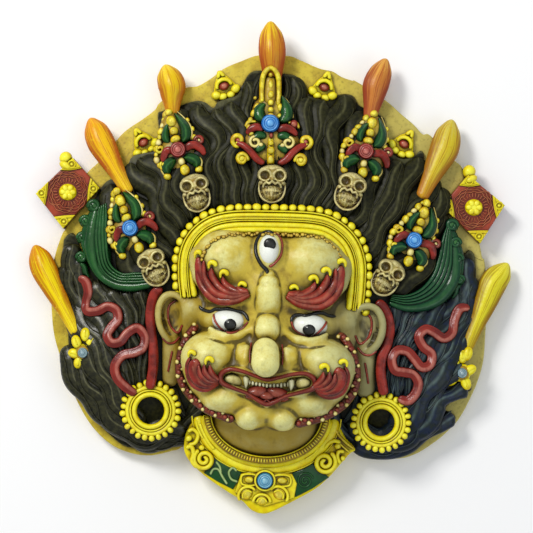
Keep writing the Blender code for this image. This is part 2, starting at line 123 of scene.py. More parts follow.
def new_form():
    """Empty form whose points carry how proud, how far along and how far across they are."""
    form = bmesh.new()
    for name in ("ridge", "along", "across"):
        form.verts.layers.float.new(name)
    return form


def add_form(form, part):
    """Adds a finished part to a form and frees it."""
    mesh = bpy.data.meshes.new("part")
    part.to_mesh(mesh)
    part.free()
    form.from_mesh(mesh)
    bpy.data.meshes.remove(mesh)


def sweep(form, path, width, height=None, around=12, spacing=1.0, closed=False, ribs=0, rib=0.0,
          ends=(1.0, 1.0), crest=None):
    """Bar along a smooth path, with a half width and half height at each point and round ends."""
    path = np.asarray(path, float)
    width = np.broadcast_to(np.asarray(width, float), len(path))
    height = width if height is None else np.broadcast_to(np.asarray(height, float), len(path))
    rows = curve_through(np.column_stack([path, width, height]), 8, closed)
    if closed:
        rows = np.vstack([rows, rows[0]])
    travel = np.concatenate([[0], np.cumsum(np.linalg.norm(np.diff(rows[:, :3], axis=0), axis=1))])
    length = travel[-1]
    count = max(int(length / spacing), 4)
    if closed:
        places = np.linspace(0, length, count + 1)
        swell = np.ones(count + 1)
    else:
        first = min(ends[0] * width[0], length * 0.4)
        last = min(ends[1] * width[-1], length * 0.4)
        quarter = np.linspace(0, math.pi / 2, 5)
        places = np.concatenate([first * (1 - np.cos(quarter))[:-1], np.linspace(first, length - last, count),
                                 length - last * (1 - np.cos(quarter[::-1]))[1:]])
        swell = np.minimum(np.sqrt(np.clip(1 - (1 - places / max(first, 1e-6)) ** 2, 0, 1))
                           * (places < first) + (places >= first),
                           np.sqrt(np.clip(1 - (1 - (length - places) / max(last, 1e-6)) ** 2, 0, 1))
                           * (length - places < last) + (length - places >= last))
    spots = np.column_stack([np.interp(places, travel, rows[:, k]) for k in range(5)])
    centre = spots[:, :3]
    tangent = np.gradient(centre, axis=0)
    if closed:
        tangent[0] = tangent[-1] = centre[1] - centre[-2]
    tangent /= np.linalg.norm(tangent, axis=1)[:, None] + 1e-9
    side = np.cross(tangent, (0, 0, 1))
    side /= np.linalg.norm(side, axis=1)[:, None] + 1e-9
    normal = np.cross(side, tangent)
    angle = np.linspace(0, math.tau, around + 1)
    lift = np.where(np.sin(angle) > 0, 1 + rib * np.cos(ribs * angle), 1.0)
    across = (spots[:, 3] * swell)[:, None] * np.cos(angle)
    up = (spots[:, 4] * swell)[:, None] * np.sin(angle) * lift
    points = (centre[:, None] + side[:, None] * across[..., None] + normal[:, None] * up[..., None])
    # proud is highest along the top of the section: the paints lighten it there and darken it low down,
    # partly as painted highlight and shade
    proud = np.clip(0.1 + 0.75 * np.sin(angle) + 1.8 * rib * np.cos(ribs * angle) * (np.sin(angle) > 0), 0, 1)
    if crest is not None:
        proud = np.maximum(proud, crest)
    part = new_form()
    bmesh.ops.create_grid(part, x_segments=around, y_segments=len(places) - 1, size=1.0)
    ridge, along, over = (part.verts.layers.float[n] for n in ("ridge", "along", "across"))
    for index, vertex in enumerate(part.verts):
        row, column = divmod(index, around + 1)
        vertex.co = points[row, column]
        vertex[ridge] = proud[column]
        vertex[along] = places[row] / length
        vertex[over] = math.cos(angle[column])
    bmesh.ops.remove_doubles(part, verts=part.verts, dist=1e-4)
    bmesh.ops.recalc_face_normals(part, faces=part.faces)
    add_form(form, part)


def pebble_mesh(subdivisions):
    """Ball of radius 1, made once and copied for every bead and bump."""
    name = f"pebble {subdivisions}"
    if name not in bpy.data.meshes:
        part = new_form()
        bmesh.ops.create_icosphere(part, subdivisions=subdivisions, radius=1.0)
        ridge, along, over = (part.verts.layers.float[n] for n in ("ridge", "along", "across"))
        for vertex in part.verts:
            # ridge rises toward the top of each ball: the paints give it a pale top and a dark lower half,
            # partly as painted highlight and shade
            vertex[ridge] = 0.1 + 0.9 * max(vertex.co.z, 0)
            vertex[along] = 0.5 + 0.5 * vertex.co.y
            vertex[over] = vertex.co.x
        part.to_mesh(bpy.data.meshes.new(name))
        part.free()
    return bpy.data.meshes[name]


def pebble(form, centre, radii, turn=0.0, tilt=0.0, subdivisions=3):
    """Ellipsoid bump; turn is about Z and tilt about its own X, in degrees."""
    if not hasattr(radii, "__len__"):
        radii = (radii, radii, radii)
    mesh = pebble_mesh(subdivisions).copy()
    mesh.transform(Matrix.Translation(Vector(centre))
                   @ Matrix.Rotation(math.radians(turn), 4, "Z")
                   @ Matrix.Rotation(math.radians(tilt), 4, "X")
                   @ Matrix.Diagonal((*radii, 1.0)))
    form.from_mesh(mesh)
    bpy.data.meshes.remove(mesh)


def slab(form, outline, low, high, bevel=0.0, proud=0.6):
    """Flat shape with an outline, its upper edge rounded by bevel."""
    part = new_form()
    corners = [part.verts.new((x, y, high)) for x, y in outline]
    top = part.faces.new(corners)
    if top.normal.z < 0 or sum(a.co.x * b.co.y - b.co.x * a.co.y
                               for a, b in zip(corners, corners[1:] + corners[:1])) < 0:
        bmesh.ops.reverse_faces(part, faces=[top])
    rim = list(top.edges)
    down = bmesh.ops.extrude_face_region(part, geom=[top], use_keep_orig=True)
    lower = [v for v in down["geom"] if isinstance(v, bmesh.types.BMVert)]
    bmesh.ops.translate(part, verts=lower, vec=(0, 0, low - high))
    if bevel:
        bmesh.ops.bevel(part, geom=rim, offset=bevel, segments=3, profile=0.5, affect="EDGES", material=-1)
    bmesh.ops.recalc_face_normals(part, faces=part.faces)
    ridge = part.verts.layers.float["ridge"]
    for vertex in part.verts:
        # top proud and sides low: the paints lighten the top and darken the sides, partly as painted
        # highlight and shade
        vertex[ridge] = proud if vertex.co.z > (low + high) / 2 else 0.2
    add_form(form, part)


def thing_from(form, name):
    """Object of a form, still in millimetres, and the form is freed."""
    mesh = bpy.data.meshes.new(name)
    form.to_mesh(mesh)
    form.free()
    thing = bpy.data.objects.new(name, mesh)
    bpy.context.scene.collection.objects.link(thing)
    return thing


def settle(thing):
    """Replaces an object's mesh with its modifiers' result."""
    graph = bpy.context.evaluated_depsgraph_get()
    mesh = bpy.data.meshes.new_from_object(thing.evaluated_get(graph))
    thing.modifiers.clear()
    old = thing.data
    thing.data = mesh
    bpy.data.meshes.remove(old)


def fuse(thing, grain):
    """Joins overlapping lumps into one skin."""
    skin = thing.modifiers.new("one skin", "REMESH")
    skin.mode = "VOXEL"
    skin.voxel_size = grain
    settle(thing)


def thin_out(thing, share):
    """Keeps a share of the faces, the fewest where the surface is plain."""
    change = thing.modifiers.new("fewer faces", "DECIMATE")
    change.ratio = share
    settle(thing)


def combine(thing, tool, operation):
    """Cuts or trims an object with a closed tool, which is then removed."""
    change = thing.modifiers.new("combine", "BOOLEAN")
    change.operation = operation
    change.object = tool
    change.solver = "MANIFOLD"
    settle(thing)
    bpy.data.objects.remove(tool)


# ---------------------------------------------------------------- carving by distance

def blob(centre, radii, blend=3.0, turn=0.0, tilt=0.0):
    """Ellipsoid lump, blended into its neighbours over the given distance."""
    spin = Matrix.Rotation(math.radians(turn), 3, "Z") @ Matrix.Rotation(math.radians(tilt), 3, "X")
    return {"centre": np.array(centre, float), "radii": np.array(radii, float), "blend": blend,
            "spin": np.array(spin), "turn": turn, "tilt": tilt, "cut": False}


def rod(points, radius, blend=2.0):
    """Round rod through points, with one radius or one for each point."""
    points = np.array(points, float)
    return {"points": points, "radius": np.broadcast_to(np.asarray(radius, float), len(points)),
            "blend": blend, "cut": False}


def cut(lump):
    """The lump, carved out of what comes before it."""
    return {**lump, "cut": True}


def both(*lumps):
    """The lumps and their mirror images across the middle of the mask."""
    result = []
    for lump in lumps:
        result.append(lump)
        twin = dict(lump)
        if "points" in lump:
            twin["points"] = lump["points"] * (-1, 1, 1)
        else:
            twin["centre"] = lump["centre"] * (-1, 1, 1)
            twin["spin"] = np.diag((-1, 1, 1)) @ lump["spin"] @ np.diag((-1, 1, 1))
            twin["turn"] = -lump["turn"]
        result.append(twin)
    return result


def lump_distance(lump, points):
    """Signed distance from one lump's surface, negative inside."""
    if "points" in lump:
        best = np.full(len(points), 1e3)
        spine, radius = lump["points"], lump["radius"]
        for a, b, ra, rb in zip(spine, spine[1:], radius, radius[1:]):
            line = b - a
            share = np.clip((points - a) @ line / (line @ line + 1e-9), 0, 1)
            away = np.linalg.norm(points - a - share[:, None] * line, axis=1)
            best = np.minimum(best, away - (ra + (rb - ra) * share))
        return best
    local = (points - lump["centre"]) @ lump["spin"]
    k0 = np.linalg.norm(local / lump["radii"], axis=1)
    k1 = np.linalg.norm(local / lump["radii"] ** 2, axis=1) + 1e-9
    return k0 * (k0 - 1) / k1


def field(lumps, points):
    """Distance to all lumps, each blended in or carved out in turn."""
    total = np.full(len(points), 50.0)
    for lump in lumps:
        reach = lump["blend"] + 5.0
        if "points" in lump:
            low = lump["points"].min(0) - lump["radius"].max() - reach
            high = lump["points"].max(0) + lump["radius"].max() + reach
        else:
            low = lump["centre"] - lump["radii"].max() - reach
            high = lump["centre"] + lump["radii"].max() + reach
        near = np.nonzero(np.all((points > low) & (points < high), axis=1))[0]
        if not len(near):
            continue
        own = lump_distance(lump, points[near])
        here = total[near]
        k = lump["blend"]
        if lump["cut"]:
            own = -own
            mix = np.clip(0.5 - 0.5 * (own - here) / k, 0, 1)
            total[near] = own + (here - own) * mix + k * mix * (1 - mix)
        else:
            mix = np.clip(0.5 + 0.5 * (own - here) / k, 0, 1)
            total[near] = own + (here - own) * mix - k * mix * (1 - mix)
    return total


def draw_to(lumps, points, rounds):
    """Moves points onto the blended surface."""
    probe = np.array([(1, -1, -1), (-1, -1, 1), (-1, 1, -1), (1, 1, 1)], float)
    step = 0.15     # how far from the point the slope is sampled, in mm
    for _ in range(rounds):
        samples = [field(lumps, points + step * k) for k in probe]
        slope = sum(s[:, None] * k for s, k in zip(samples, probe)) / (4 * step)
        steep = np.maximum((slope ** 2).sum(1), 0.25)
        here = sum(samples) / 4
        move = (here / steep)[:, None] * slope
        size = np.linalg.norm(move, axis=1)
        points = points - move * np.minimum(1, 2.0 / (size + 1e-9))[:, None]
    return points


def mesh_points(mesh):
    """Points of a mesh, a row for each."""
    points = np.empty(len(mesh.vertices) * 3, np.float32)
    mesh.vertices.foreach_get("co", points)
    return points.reshape(-1, 3).astype(float)


def set_points(mesh, points):
    mesh.vertices.foreach_set("co", points.astype(np.float32).ravel())
    mesh.update()


def carved(name, lumps, grain, coarse=None, floor=None):
    """Sculpted object: lumps joined into a skin, then drawn to the blended and carved surface."""
    form = new_form()
    for lump in lumps:
        if lump["cut"]:
            continue
        if "points" in lump:
            for a, b, ra, rb in zip(lump["points"], lump["points"][1:], lump["radius"], lump["radius"][1:]):
                steps = max(int(np.linalg.norm(b - a) / (0.6 * min(ra, rb) + 0.3)), 1)
                for k in range(steps + 1):
                    t = k / steps
                    pebble(form, a + (b - a) * t, ra + (rb - ra) * t, subdivisions=2)
        else:
            pebble(form, lump["centre"], lump["radii"], lump["turn"], lump["tilt"], subdivisions=4)
    thing = thing_from(form, name)
    fuse(thing, coarse or grain * 1.8)
    set_points(thing.data, draw_to(lumps, mesh_points(thing.data), 5))
    fuse(thing, grain)
    set_points(thing.data, draw_to(lumps, mesh_points(thing.data), 3))
    if floor is not None:
        part = bmesh.new()
        part.from_mesh(thing.data)
        bmesh.ops.bisect_plane(part, geom=part.verts[:] + part.edges[:] + part.faces[:], dist=1e-4,
                               plane_co=(0, 0, floor), plane_no=(0, 0, -1), clear_outer=True)
        open_edges = [e for e in part.edges if e.is_boundary]
        bmesh.ops.holes_fill(part, edges=open_edges, sides=0)
        part.to_mesh(thing.data)
        part.free()
    return thing


def mark_relief(thing, rounds=24, depth=0.35, lift=0.0, broad=0, swell_depth=2.5):
    """Writes how proud or sunk each point is, against its near and its broad surroundings."""
    mesh = thing.data
    points = mesh_points(mesh)
    count = len(points)
    edges = np.empty(len(mesh.edges) * 2, np.int32)
    mesh.edges.foreach_get("vertices", edges)
    a, b = edges.reshape(-1, 2).T
    degree = np.bincount(a, minlength=count) + np.bincount(b, minlength=count) + 1e-9
    normals = np.empty(count * 3, np.float32)
    mesh.vertex_normals.foreach_get("vector", normals)
    normals = normals.reshape(-1, 3)
    soft = points.copy()
    stages = {rounds: ("ridge", depth, lift)}
    if broad:
        stages[rounds + broad] = ("swell", swell_depth, 0.0)
    for step in range(1, rounds + broad + 1):
        total = np.stack([np.bincount(a, soft[b, k], count) + np.bincount(b, soft[a, k], count)
                          for k in range(3)], axis=1)
        soft = 0.3 * soft + 0.7 * total / degree[:, None]
        if step in stages:
            label, reach, shift = stages[step]
            proud = ((points - soft) * normals).sum(1)
            write_layer(mesh, label, np.clip(0.5 + shift + proud / (2 * reach), 0, 1))
    write_layer(mesh, "along", points[:, 1] / 100)
    write_layer(mesh, "across", points[:, 0] / 100)


def write_layer(mesh, label, values):
    """Stores a number for each point, for the paints."""
    layer = mesh.attributes.get(label) or mesh.attributes.new(label, "FLOAT", "POINT")
    layer.data.foreach_set("value", values.astype(np.float32))


# ---------------------------------------------------------------- paint

def node(tree, kind, settings=None, **inputs):
    """Adds a node; settings are its properties, inputs are values or sockets by name."""
    item = tree.nodes.new("ShaderNode" + kind)
    for key, value in (settings or {}).items():
        setattr(item, key, value)
    for key, value in inputs.items():
        socket = item.inputs[int(key[1:])] if key[0] == "i" and key[1:].isdigit() else \
            item.inputs[key.replace("_", " ")]
        if isinstance(value, bpy.types.NodeSocket):
            tree.links.new(value, socket)
        else:
            socket.default_value = value
    return item


def colour(rgb):
    """Linear colour from a 0-255 triple as a paint chart gives it, or from a colour property."""
    if isinstance(rgb, tuple):
        rgb = [((c / 255 + 0.055) / 1.055) ** 2.4 if c > 10 else c / 255 / 12.92 for c in rgb]
    return (*rgb, 1.0)


def blend_colour(tree, share, low, high):
    """Colour between two others, low at share 0 and high at share 1."""
    mix = node(tree, "Mix", {"data_type": "RGBA"}, i0=share, i6=low, i7=high)
    return mix.outputs[2]


def band(tree, value, low, high):
    """0 below low, 1 above high, smooth between."""
    item = node(tree, "MapRange", {"interpolation_type": "SMOOTHSTEP"}, Value=value)
    item.inputs["From Min"].default_value = low
    item.inputs["From Max"].default_value = high
    return item.outputs["Result"]


def maths(tree, operation, a, b=0.0):
    """One sum on two values, kept between 0 and 1."""
    return node(tree, "Math", {"operation": operation, "use_clamp": True}, i0=a, i1=b).outputs[0]


def noise(tree, size, detail=4.0, where=None, stretch=(1, 1, 1), offset=0.0):
    """Soft noise with grains of about the given size in millimetres."""
    if where is None:
        where = node(tree, "TexCoord").outputs["Object"]
    place = node(tree, "Mapping", None, Vector=where)
    place.inputs["Scale"].default_value = tuple(s / (size * MM) for s in stretch)
    place.inputs["Location"].default_value = (offset, offset * 0.7, offset * 1.3)
    item = node(tree, "TexNoise", None, Vector=place.outputs[0], Scale=1.0, Detail=detail, Roughness=0.55)
    return item.outputs["Fac"]


def attribute(tree, name):
    return node(tree, "Attribute", {"attribute_name": name}).outputs["Fac"]


def paint(name, body, second, light, dark, wash=1.0, shine=0.4, rub=(0.55, 0.98), grain=0.25, reach=3.0,
          dry=0.8, mottle=14.0, specks=0.2, far=None, sheen=0.3, open_at=(0.4, 0.97), veins=0.0):
    """Brush-painted finish: two mixed body tones, a pale brush colour with painted highlight on the ridges,
    and a dark patina with painted shade in the recesses.
    """
    if name in bpy.data.materials:
        return bpy.data.materials[name]
    material = bpy.data.materials.new(name)
    material.use_nodes = True
    tree = material.node_tree
    shader = tree.nodes["Principled BSDF"]
    ridge = attribute(tree, "ridge")
    patches = band(tree, noise(tree, mottle, 5), 0.38, 0.64)
    base = blend_colour(tree, patches, colour(body), colour(second))
    if far:
        where = node(tree, "SeparateXYZ", None, Vector=node(tree, "TexCoord").outputs["Object"]).outputs["X"]
        share = maths(tree, "MULTIPLY", band(tree, where, 0.0, 0.13), 0.8)
        base = blend_colour(tree, share, base, colour(far))
    strokes = noise(tree, 3.2, 2, stretch=(1, 0.4, 1), offset=3.0)
    patchy = node(tree, "MapRange", None, Value=strokes, From_Min=0.3, From_Max=0.62, To_Min=0.35)
    # painted highlight: the pale colour goes on the ridges, brushwork and highlight together
    wear_and_highlight = maths(tree, "MULTIPLY", band(tree, ridge, *rub), patchy.outputs["Result"])
    base = blend_colour(tree, maths(tree, "MULTIPLY", wear_and_highlight, dry), base, colour(light))
    # painted shade: crevices and gaps between parts that ambient occlusion finds turn dark, together with the
    # patina of the recesses
    shade = node(tree, "AmbientOcclusion", {"samples": 6}, Distance=reach * MM)
    hollow = maths(tree, "SUBTRACT", 1.0, band(tree, shade.outputs["AO"], *open_at))
    sunk = maths(tree, "SUBTRACT", 1.0, band(tree, ridge, 0.04, 0.42))
    shade_and_grime = maths(tree, "MAXIMUM", hollow, maths(tree, "MULTIPLY", sunk, 0.8))
    shade_and_grime = maths(tree, "MULTIPLY", shade_and_grime, maths(tree, "ADD", 0.6, band(tree, strokes, 0.25, 0.6)))
    grime = maths(tree, "MULTIPLY", band(tree, noise(tree, 2.2, 5, offset=11.0), 0.5, 0.74), specks)
    shade_and_grime = maths(tree, "MAXIMUM", shade_and_grime, grime)
    if veins:
        wander = maths(tree, "ABSOLUTE", maths(tree, "SUBTRACT", noise(tree, 4.2, 2, offset=41.0), 0.5))
        line = maths(tree, "SUBTRACT", 1.0, band(tree, wander, 0.006, 0.034))
        shade_and_grime = maths(tree, "MAXIMUM", shade_and_grime, maths(tree, "MULTIPLY", line, veins))
    # the dark colour goes into the recesses as patina, grime and painted shade
    base = blend_colour(tree, maths(tree, "MULTIPLY", shade_and_grime, wash), base, colour(dark))
    tree.links.new(base, shader.inputs["Base Color"])
    finish(tree, shader, shine, grain, sheen)
    return material


def finish(tree, shader, shine, grain, sheen=0.3):
    """Uneven lacquer: gloss that varies in patches, over brush marks and small pits."""
    shader.inputs["Specular IOR Level"].default_value = sheen
    gloss = node(tree, "MapRange", None, Value=noise(tree, 5, 3, offset=8.0))
    gloss.inputs["To Min"].default_value = shine - 0.08
    gloss.inputs["To Max"].default_value = shine + 0.12
    tree.links.new(gloss.outputs["Result"], shader.inputs["Roughness"])
    fine = node(tree, "Bump", None, Strength=0.35, Distance=grain * MM,
                Height=noise(tree, 1.6, 5, stretch=(1, 0.5, 1), offset=5.0))
    bump = node(tree, "Bump", None, Strength=0.5, Distance=grain * 2.4 * MM, Normal=fine.outputs["Normal"],
                Height=noise(tree, 5.5, 3, offset=15.0))
    tree.links.new(bump.outputs["Normal"], shader.inputs["Normal"])


def flame_paint(name, core, edge, tip, root):
    """Flame leaf: a pale core, darker edges and a bright tip, drawn out in long brush streaks."""
    if name in bpy.data.materials:
        return bpy.data.materials[name]
    material = bpy.data.materials.new(name)
    material.use_nodes = True
    tree = material.node_tree
    shader = tree.nodes["Principled BSDF"]
    across, along = attribute(tree, "across"), attribute(tree, "along")
    flow = node(tree, "CombineXYZ", None, X=across, Y=along)
    streak = noise(tree, 1000, 5, where=flow.outputs[0], stretch=(5, 1.1, 1), offset=1.0)
    wander = node(tree, "MapRange", None, Value=streak, To_Min=-0.8, To_Max=0.8).outputs["Result"]
    side = maths(tree, "ADD", maths(tree, "ABSOLUTE", across), wander)
    base = blend_colour(tree, band(tree, side, 0.3, 0.85), colour(core), colour(edge))
    high = maths(tree, "ADD", along, wander)
    base = blend_colour(tree, maths(tree, "MULTIPLY", band(tree, high, 0.62, 0.95), 0.85), base, colour(tip))
    low = maths(tree, "SUBTRACT", 1.0, band(tree, along, 0.02, 0.42))
    base = blend_colour(tree, maths(tree, "MULTIPLY", low, 0.6), base, colour(root))
    # painted shade: crevices that ambient occlusion finds take the edge colour, together with fine brush
    # marks
    shade = node(tree, "AmbientOcclusion", {"samples": 6}, Distance=5 * MM)
    crevice_shade = maths(tree, "SUBTRACT", 1.0, band(tree, shade.outputs["AO"], 0.3, 0.85))
    marks = noise(tree, 1000, 6, where=flow.outputs[0], stretch=(13, 1.8, 1), offset=6.0)
    fine = maths(tree, "MULTIPLY", band(tree, marks, 0.52, 0.62), 0.7)
    base = blend_colour(tree, maths(tree, "MAXIMUM", crevice_shade, fine), base, colour(edge))
    wear_and_highlight = maths(tree, "MULTIPLY", band(tree, noise(tree, 2.4, 5, offset=31.0), 0.56, 0.72), 0.4)
    base = blend_colour(tree, wear_and_highlight, base, colour(root))
    tree.links.new(base, shader.inputs["Base Color"])
    finish(tree, shader, 0.3, 0.3, 0.2)
    return material


def skin_paint(name, high, middle, low, crease, cool_side_shade):
    """Old ivory skin: pale on the swells, ochre on the slopes, dark in the creases, as its paint with painted
    highlight and painted shade over it, and a cooler painted shade to one side.
    """
    if name in bpy.data.materials:
        return bpy.data.materials[name]
    material = bpy.data.materials.new(name)
    material.use_nodes = True
    tree = material.node_tree
    shader = tree.nodes["Principled BSDF"]
    cloud = noise(tree, 8, 7)
    # painted highlight and shade: the swells pale and the slopes ochre, over the ivory paint
    swell = maths(tree, "ADD", attribute(tree, "swell"),
                  node(tree, "MapRange", None, Value=cloud, To_Min=-0.42, To_Max=0.42).outputs["Result"])
    base = blend_colour(tree, band(tree, swell, 0.1, 0.46), colour(low), colour(middle))
    base = blend_colour(tree, band(tree, swell, 0.46, 0.9), base, colour(high))
    grains = maths(tree, "MULTIPLY", band(tree, noise(tree, 1.5, 3, offset=51.0), 0.46, 0.7), 0.34)
    base = blend_colour(tree, grains, base, colour(middle))
    side = band(tree, attribute(tree, "across"), 0.1, 0.75)
    # painted shade: deep hollows that ambient occlusion finds take the low colour
    shade = node(tree, "AmbientOcclusion", {"samples": 6}, Distance=11 * MM)
    crevice_shade = maths(tree, "SUBTRACT", 1.0, band(tree, shade.outputs["AO"], 0.4, 0.97))
    base = blend_colour(tree, maths(tree, "MULTIPLY", crevice_shade, 0.7), base, colour(low))
    # painted shade: parts that lie low over the back, as under the chin and on the neck, take the low colour
    place = node(tree, "SeparateXYZ", None, Vector=node(tree, "TexCoord").outputs["Object"])
    deep = maths(tree, "SUBTRACT", 1.0, band(tree, place.outputs["Z"], 0.040, 0.064))
    base = blend_colour(tree, maths(tree, "MULTIPLY", deep, 0.72), base, colour(low))
    # painted shade: the right side of the face mixed toward a bluish grey
    base = blend_colour(tree, maths(tree, "MULTIPLY", side, 0.5), base, colour(cool_side_shade))
    # creases: painted shade from the relief and close ambient occlusion, with random specks of grime
    streak = noise(tree, 3, 4, stretch=(1, 0.4, 1), offset=3.0)
    sunk = maths(tree, "SUBTRACT", 1.0, band(tree, attribute(tree, "ridge"), 0.04, 0.34))
    shade_and_grime = maths(tree, "MULTIPLY", sunk, maths(tree, "ADD", 0.55, band(tree, streak, 0.3, 0.6)))
    near = node(tree, "AmbientOcclusion", {"samples": 6}, Distance=5 * MM)
    tight = maths(tree, "SUBTRACT", 1.0, band(tree, near.outputs["AO"], 0.35, 0.92))
    shade_and_grime = maths(tree, "MAXIMUM", shade_and_grime, tight)
    dots = noise(tree, 5, 4, stretch=(1, 0.6, 1), offset=21.0)
    specks = maths(tree, "MULTIPLY", band(tree, dots, 0.5, 0.8), 0.34)
    shade_and_grime = maths(tree, "MAXIMUM", shade_and_grime, specks)
    base = blend_colour(tree, maths(tree, "MULTIPLY", shade_and_grime, 0.8), base, colour(crease))
    tree.links.new(base, shader.inputs["Base Color"])
    finish(tree, shader, 0.36, 0.25)
    return material


def piece(name, thing_or_form, material, smooth=True):
    """Finishes a piece: its size in metres, its paint, and its place on the body."""
    thing = thing_or_form
    if not isinstance(thing, bpy.types.Object):
        thing = thing_from(thing, name)
    thing.name = thing.data.name = name
    thing.data.transform(Matrix.Scale(MM, 4))
    if smooth:
        thing.data.shade_smooth()
        thing.data.set_sharp_from_angle(angle=math.radians(50))
    thing.data.materials.clear()
    thing.data.materials.append(material)
    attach(thing, "root")
    return thing


# ---------------------------------------------------------------- plate, hollow and hair

def hollow_tool(extra=0.0):
    """Hollow of the back as a closed tool, larger than the finished hollow by extra."""
    rim, wall = RIM - extra, WALL - extra
    form = new_form()
    pebble(form, (0, 0, 0), (DOME[0] - rim, DOME[1] - rim, HAIR_RISE - wall), subdivisions=5)
    for side in (-1, 1):
        pebble(form, (LOBE[0] * side, LOBE[1], 0),
               (LOBE_REACH[0] - rim, LOBE_REACH[1] - rim, HAIR_RISE - LOBE_DROP - wall), subdivisions=5)
    inset = wall + 1.5
    count, squareness = 48, 0.7
    block = []
    for k in range(count):
        c, s = math.cos(math.tau * k / count), math.sin(math.tau * k / count)
        block.append((1 + (63 - inset) * math.copysign(abs(c) ** squareness, c),
                      -38 + (76 - inset) * math.copysign(abs(s) ** squareness, s)))
    slab(form, block, -5, 45 - inset)
    for centre, radii in (((2, -4, 0), (70, 56, 69)), ((0, -42, 0), (66, 60, 66)),
                          ((0, -74, 0), (66, 50, 80)), ((0, -122, 0), (42, 30, 46))):
        pebble(form, centre, [radius - inset for radius in radii], subdivisions=4)
    tool = thing_from(form, "hollow tool")
    fuse(tool, 2.6)
    thin_out(tool, 0.35)
    return tool


def outline_tool(outline, low, high):
    """Closed tool with the given outline, between two heights."""
    form = new_form()
    slab(form, outline, low, high)
    return thing_from(form, "outline tool")


def make_plate(paints):
    """Halo plate with its rim, in place of the solid, and the lining of the hollow."""
    form = new_form()
    outline = curve_through(PLATE_RIGHT + PLATE_LEFT[::-1], 6, closed=True)
    slab(form, outline, 0, PLATE_THICK, bevel=1.6)
    plate = thing_from(form, "plate")
    combine(plate, hollow_tool(LINING), "DIFFERENCE")
    piece("halo_plate", plate, paints["plate"])
    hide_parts(NODE)
    lining = hollow_tool(LINING + 1.0)
    combine(lining, hollow_tool(0.0), "DIFFERENCE")
    everywhere = [(-250, -250), (250, -250), (250, 250), (-250, 250)]
    combine(lining, outline_tool(everywhere, -200, LINING_GAP), "DIFFERENCE")
    piece("back_lining", lining, paints["raw"])


def between(guides, count, stations=28):
    """Paths laid evenly between given guide paths."""
    lines = []
    for guide in guides:
        rows = curve_through(guide, 8)
        travel = np.concatenate([[0], np.cumsum(np.linalg.norm(np.diff(rows, axis=0), axis=1))])
        places = np.linspace(0, travel[-1], stations)
        lines.append(np.column_stack([np.interp(places, travel, rows[:, k]) for k in range(2)]))
    stack = np.array(lines)
    where = np.linspace(0, len(guides) - 1, count)
    result = []
    for w in where:
        low = min(int(w), len(guides) - 2)
        result.append(stack[low] + (stack[low + 1] - stack[low]) * (w - low))
    return result


def inside(x, y, outline):
    """Whether a point lies within a closed outline."""
    ahead = np.roll(outline, -1, axis=0)
    span = (outline[:, 1] > y) != (ahead[:, 1] > y)
    rise = np.where(span, ahead[:, 1] - outline[:, 1], 1.0)
    meet = outline[:, 0] + (y - outline[:, 1]) * (ahead[:, 0] - outline[:, 0]) / rise
    return np.count_nonzero(span & (x < meet)) % 2 == 1


def lay_locks(form, paths, outline, lift=0.0, wave=2.5, length=38.0, lines=(-0.62, 0.34), seed=1):
    """Broad flat locks side by side, waving together, with thin raised strands along them."""
    rng = np.random.default_rng(seed)
    stack = np.array([np.vstack([p, p[-1] + (p[-1] - p[-3]) * (4 / np.linalg.norm(p[-1] - p[-3]))
                                 * np.arange(1, 4)[:, None]]) for p in paths])
    gaps = np.linalg.norm(np.diff(stack, axis=0), axis=2)
    gaps = np.clip((np.vstack([gaps[:1], gaps]) + np.vstack([gaps, gaps[-1:]])) / 2, 4.5, 15.0)
    for k, (path, gap) in enumerate(zip(stack, gaps)):
        along = np.gradient(path, axis=0)
        travel = np.concatenate([[0], np.cumsum(np.linalg.norm(np.diff(path, axis=0), axis=1))])
        along /= np.linalg.norm(along, axis=1)[:, None] + 1e-9
        out = np.column_stack([-along[:, 1], along[:, 0]])
        swing = math.tau * travel / (length * rng.uniform(0.9, 1.1)) + 0.45 * k + rng.uniform(-0.35, 0.35)
        sway = wave * np.minimum(1, travel / 18) * np.sin(swing) * np.clip(gap / 7, 0.7, 1.2)
        centre = path + out * sway[:, None]
        keep = [i for i, (x, y) in enumerate(centre) if inside(x, y, outline)]
        if len(keep) < 6:
            continue
        last = keep[-1] + 1
        centre, out, gap, travel = centre[:last], out[:last], gap[:last], travel[:last]
        tip = np.clip((travel[-1] - travel) / 9, 0, 1) ** 0.6
        half = 0.62 * gap * (0.4 + 0.6 * tip)
        z = np.array([hair_height(x, y) for x, y in centre]) + lift - 0.8 + 0.7 * math.sin(k * 2.4)
        z = np.convolve(np.pad(z, 3, mode="edge"), np.ones(7) / 7, "valid")
        rise = 0.42 * half + 0.8
        sweep(form, np.column_stack([centre, z]), half, rise, around=20, spacing=1.7, ribs=8, rib=0.05,
              ends=(0.8, 1.2))
        for n, place in enumerate(lines if k % 3 else lines[:1]):
            wander = place + 0.16 * np.sin(travel / 17 + k * 1.3 + n * 2.1)
            spot_at = centre + out * (wander * half)[:, None]
            top = z + rise * np.sqrt(1 - wander ** 2) * 1.0 + 0.1
            first, stop = int(rng.integers(0, 3)), len(spot_at) - int(rng.integers(0, 3))
            strand = np.column_stack([spot_at, top])[first:stop]
            if len(strand) > 4:
                sweep(form, strand, 0.6, 0.7, around=8, spacing=1.8, ends=(3, 3), crest=0.86)


